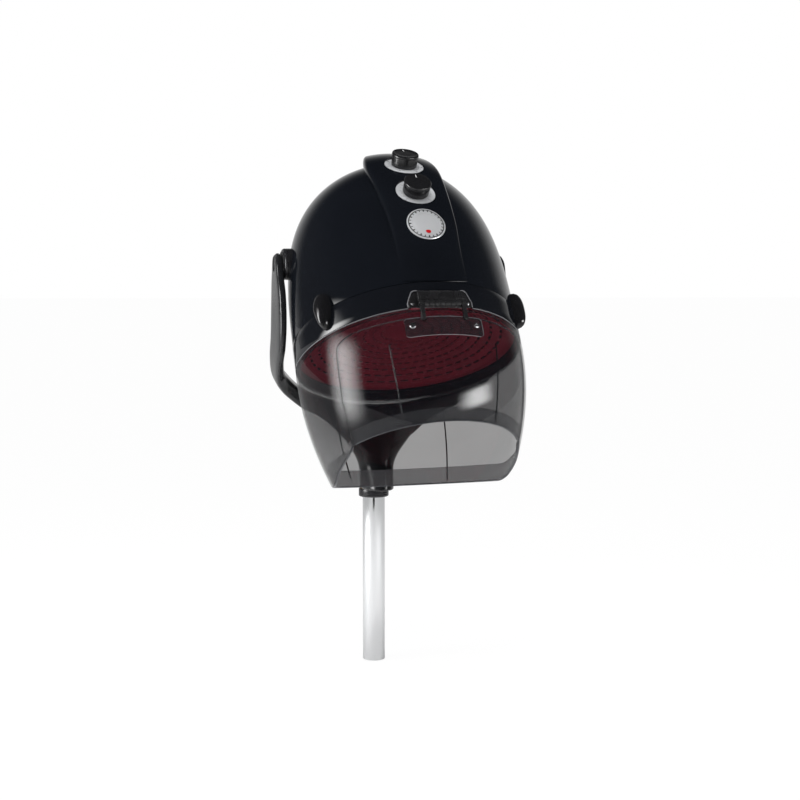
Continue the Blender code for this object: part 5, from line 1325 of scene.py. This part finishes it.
for k in range(knuckles):
    a = -FIXED_HALF + 2 * FIXED_HALF * k / knuckles
    b = -FIXED_HALF + 2 * FIXED_HALF * (k + 1) / knuckles
    barrel_run += [(BARREL - 0.0007, a + 0.0001), (BARREL, a + 0.0007), (BARREL, b - 0.0007),
                   (BARREL - 0.0007, b - 0.0001)]
barrel_run.append((0.0021, FIXED_HALF))
parts.append(lathe("barrel", barrel_run, pin_place, 40))
join(block, *parts)
block.data.transform(HOOD)
settle(block, "hood", hinge_black, "hinge_block")
pin = lathe("hinge_pin_domed", [
    (0.0, -BLOCK_HALF), (0.0012, -BLOCK_HALF + 0.0001), (0.0018, -BLOCK_HALF + 0.0006),
    (0.0018, BLOCK_HALF - 0.0006), (0.0012, BLOCK_HALF - 0.0001), (0.0, BLOCK_HALF)], HOOD @ pin_place, 24)
settle(pin, "hood", bright_steel, "hinge_pin")


def leaf_place(column, row):
    depth = LEAF_TOP + LEAF_DROP * row / 20.0
    corner = 0.0060
    short = max(0.0, depth - (LEAF_TOP + LEAF_DROP - corner))
    top_short = max(0.0, LEAF_TOP + 0.0030 - depth)
    half = LEAF_HALF - corner + sqrt(max(0.0, corner ** 2 - short ** 2)) - top_short
    reach = asin(half / hood_sizes(-depth)[0])
    return on_hood(-reach + 2 * reach * column / 60.0, -depth, -(FIT + LEAF_WALL))


leaf_smoke = tinted("smoke_leaf", (0.018, 0.019, 0.022), 0.40, 0.05)
# The leaf's rim faces are drawn in a pale, nearly opaque smoke as a painted highlight.
leaf_edge_painted_highlight = tinted("smoke_leaf_edge_painted_highlight", (0.50, 0.51, 0.54), 0.80, 0.12)
leaf = sheet("hinge_leaf_smoke", 60, 20, leaf_place)
face_out(leaf, (0.0, 0.0, -0.05))
thicken(wear(leaf, leaf_smoke, leaf_edge_painted_highlight), LEAF_WALL, rim=1)
lugs = []
for side in (-1, 1):
    low, high = sorted((side * (FIXED_HALF + FIT), side * BLOCK_HALF))
    lugs.append(bar("lug", (low, -PIN_FORWARD - 0.0046, -LEAF_TOP - 0.0050),
                    (high, -PIN_FORWARD + 0.0015, PIN_HEIGHT), 0.0005))
    lugs.append(lathe("knuckle", [(0.0021, low), (BARREL - 0.0006, low), (BARREL, low + 0.0006),
                                  (BARREL, high - 0.0006), (BARREL - 0.0006, high), (0.0021, high)],
                      pin_place, 40))
for lug in lugs:
    wear(lug, hinge_black)
join(leaf, *lugs)
leaf.data.transform(HOOD)
settle(leaf, "flap", None, "hinge_leaf")


def screw(name, place, head, height, shank, length):
    """Pan-head cross-recess screw, its seat at the place's origin."""
    made = lathe(name, [(0.0, -length), (shank, -length), (shank, 0.0), (head - 0.0003, 0.0), (head, 0.0003),
                        (head, height * 0.35), (head * 0.93, height * 0.62), (head * 0.76, height * 0.86),
                        (head * 0.5, height * 0.97), (0.0, height)], steps=40)
    for x, y in ((0.55, 0.11), (0.11, 0.55)):
        carve(made, bar("recess", (-head * x, -head * y, height * 0.45), (head * x, head * y, height * 1.5)))
    made.data.transform(place)
    return made


SCREW_REACH = 0.0475
screw_depth = LEAF_TOP + LEAF_DROP * 0.42
screw_angle = asin(SCREW_REACH / hood_sizes(-screw_depth)[0])
for side, word in ((-1, "left"), (1, "right")):
    out = out_of_hood(side * screw_angle, -screw_depth)
    seat = on_hood(side * screw_angle, -screw_depth) + out * (2 * FIT + LEAF_WALL)
    fixing = screw("flap_screw_cross_" + word, HOOD @ stand(seat, out), 0.0046, 0.0018, 0.0018, 0.0050)
    settle(fixing, "flap", bright_steel, "flap_screw_" + word)
    seat = Vector((side * (BLOCK_HALF + 0.0070), PLATE_FRONT - FIT, 0.0060))
    fixing = screw("plate_screw_cross_" + word, HOOD @ stand(seat, (0, -1, 0)), 0.0026, 0.0016, 0.0012,
                   0.0042)
    settle(fixing, "hood", bright_steel, "bracket_screw_" + word)

# ---------------------------------------------------------------- diffuser
# Red moulded dish over the sitter's head, with rings of short air slits. The slits' cut edges are drawn in a
# paler red as a painted highlight.
DISH_HIGH = LEDGE_LOW - FIT
DISH_SAG = 0.036
DISH_WALL = 0.0020
DISH_COLUMNS = 288
DISH_ROWS = 90
dish_centre = Vector((0.0, 0.006, DISH_HIGH))


def dish_place(column, row):
    angle = turn_of(column, DISH_COLUMNS)
    if row == 0:
        return on_hood(angle, DISH_HIGH, NECK_INSET)
    share = 1.0 - (row - 1) / (DISH_ROWS - 1)
    rim = on_hood(angle, DISH_HIGH, LEDGE_WIDTH + 0.001)
    return (dish_centre + (rim - dish_centre) * share
            + Vector((0.0, 0.0, DISH_SAG * (1.0 - share * share))))


dish = sheet("diffuser_slotted", DISH_COLUMNS, DISH_ROWS, dish_place)
take(dish)
bpy.ops.object.mode_set(mode="EDIT")
bpy.ops.mesh.select_mode(type="FACE")
bpy.ops.mesh.select_all(action="DESELECT")
bpy.ops.object.mode_set(mode="OBJECT")
RING_PITCH = 8
for face in dish.data.polygons:
    column, row = face.index % DISH_COLUMNS, face.index // DISH_COLUMNS
    ring, step = divmod(row - 4, RING_PITCH)
    count = 6 if ring < 5 else 9 if ring < 8 else 12
    face.select = 0 <= ring < 9 and step in (3, 4) and (column + ring * 3) % count < count * 0.62
bpy.ops.object.mode_set(mode="EDIT")
bpy.ops.mesh.delete(type="FACE")
bpy.ops.mesh.select_mode(type="VERT")
bpy.ops.object.mode_set(mode="OBJECT")
face_out(dish, (0.0, 0.0, 0.6))
red = finish("diffuser_red_moulded", (0.32, 0.012, 0.032), 0.15, 0.36, 0.12, cloud=18.0, grain=700.0,
             bump=0.03, Specular_IOR_Level=0.22)
# Paler red on the slits' cut edges: a painted highlight.
slit_edge_painted_highlight = finish("diffuser_slit_edge_painted_highlight", (0.62, 0.16, 0.19), 0.15, 0.30, 0.12, cloud=18.0, grain=700.0,
                  bump=0.03)
thicken(wear(dish, red, slit_edge_painted_highlight), DISH_WALL, rim=1)
dish.data.transform(HOOD)
hinge_room, _ = notch_block(0.0008, -FRONT - 0.03, NOTCH_BACK + 0.0008, -0.01)
hinge_room.data.transform(HOOD)
carve(dish, hinge_room)
settle(dish, "hood", None, "diffuser", smooth=40.0)

# ---------------------------------------------------------------- fan, duct and heater
# What works inside the dome keeps its CAD shape: the moulded duct, the motor on its zinc
# spider with the cut-out, the grey impeller, and two heater rods on crossed mica boards.
dress("air_duct", finish("duct_black_moulded", (0.020, 0.020, 0.021), 0.3, 0.42, 0.2, cloud=20.0, grain=600.0,
                         bump=0.10))
dress("motor_bracket", finish("zinc_passivated", (0.46, 0.47, 0.48), 0.2, 0.30, 0.2, cloud=35.0, grain=500.0,
                              bump=0.08, metallic=1.0))
dress("fan_motor", finish("motor_steel_case", (0.35, 0.36, 0.38), 0.15, 0.34, 0.2, cloud=30.0, grain=800.0,
                          bump=0.05, metallic=1.0))
dress("fan_shaft", turned_steel)
dress("fan_impeller", finish("impeller_grey_moulded", (0.25, 0.26, 0.27), 0.15, 0.42, 0.15, cloud=40.0,
                             grain=900.0, bump=0.06))
dress("thermal_cutout", finish("cutout_tinned", (0.60, 0.60, 0.58), 0.12, 0.28, 0.15, cloud=80.0, grain=900.0,
                               bump=0.04, metallic=1.0))
dress("heater_frame", finish("mica_board_flaked", (0.55, 0.47, 0.36), 0.3, 0.50, 0.25, cloud=90.0,
                             grain=500.0, bump=0.15))
heat_tint = finish("heater_rod_oxidised", (0.30, 0.27, 0.25), 0.4, 0.40, 0.25, cloud=70.0, grain=700.0,
                   bump=0.08, metallic=0.8)
dress("heater_ring_inner", heat_tint)
dress("heater_ring_outer", heat_tint)
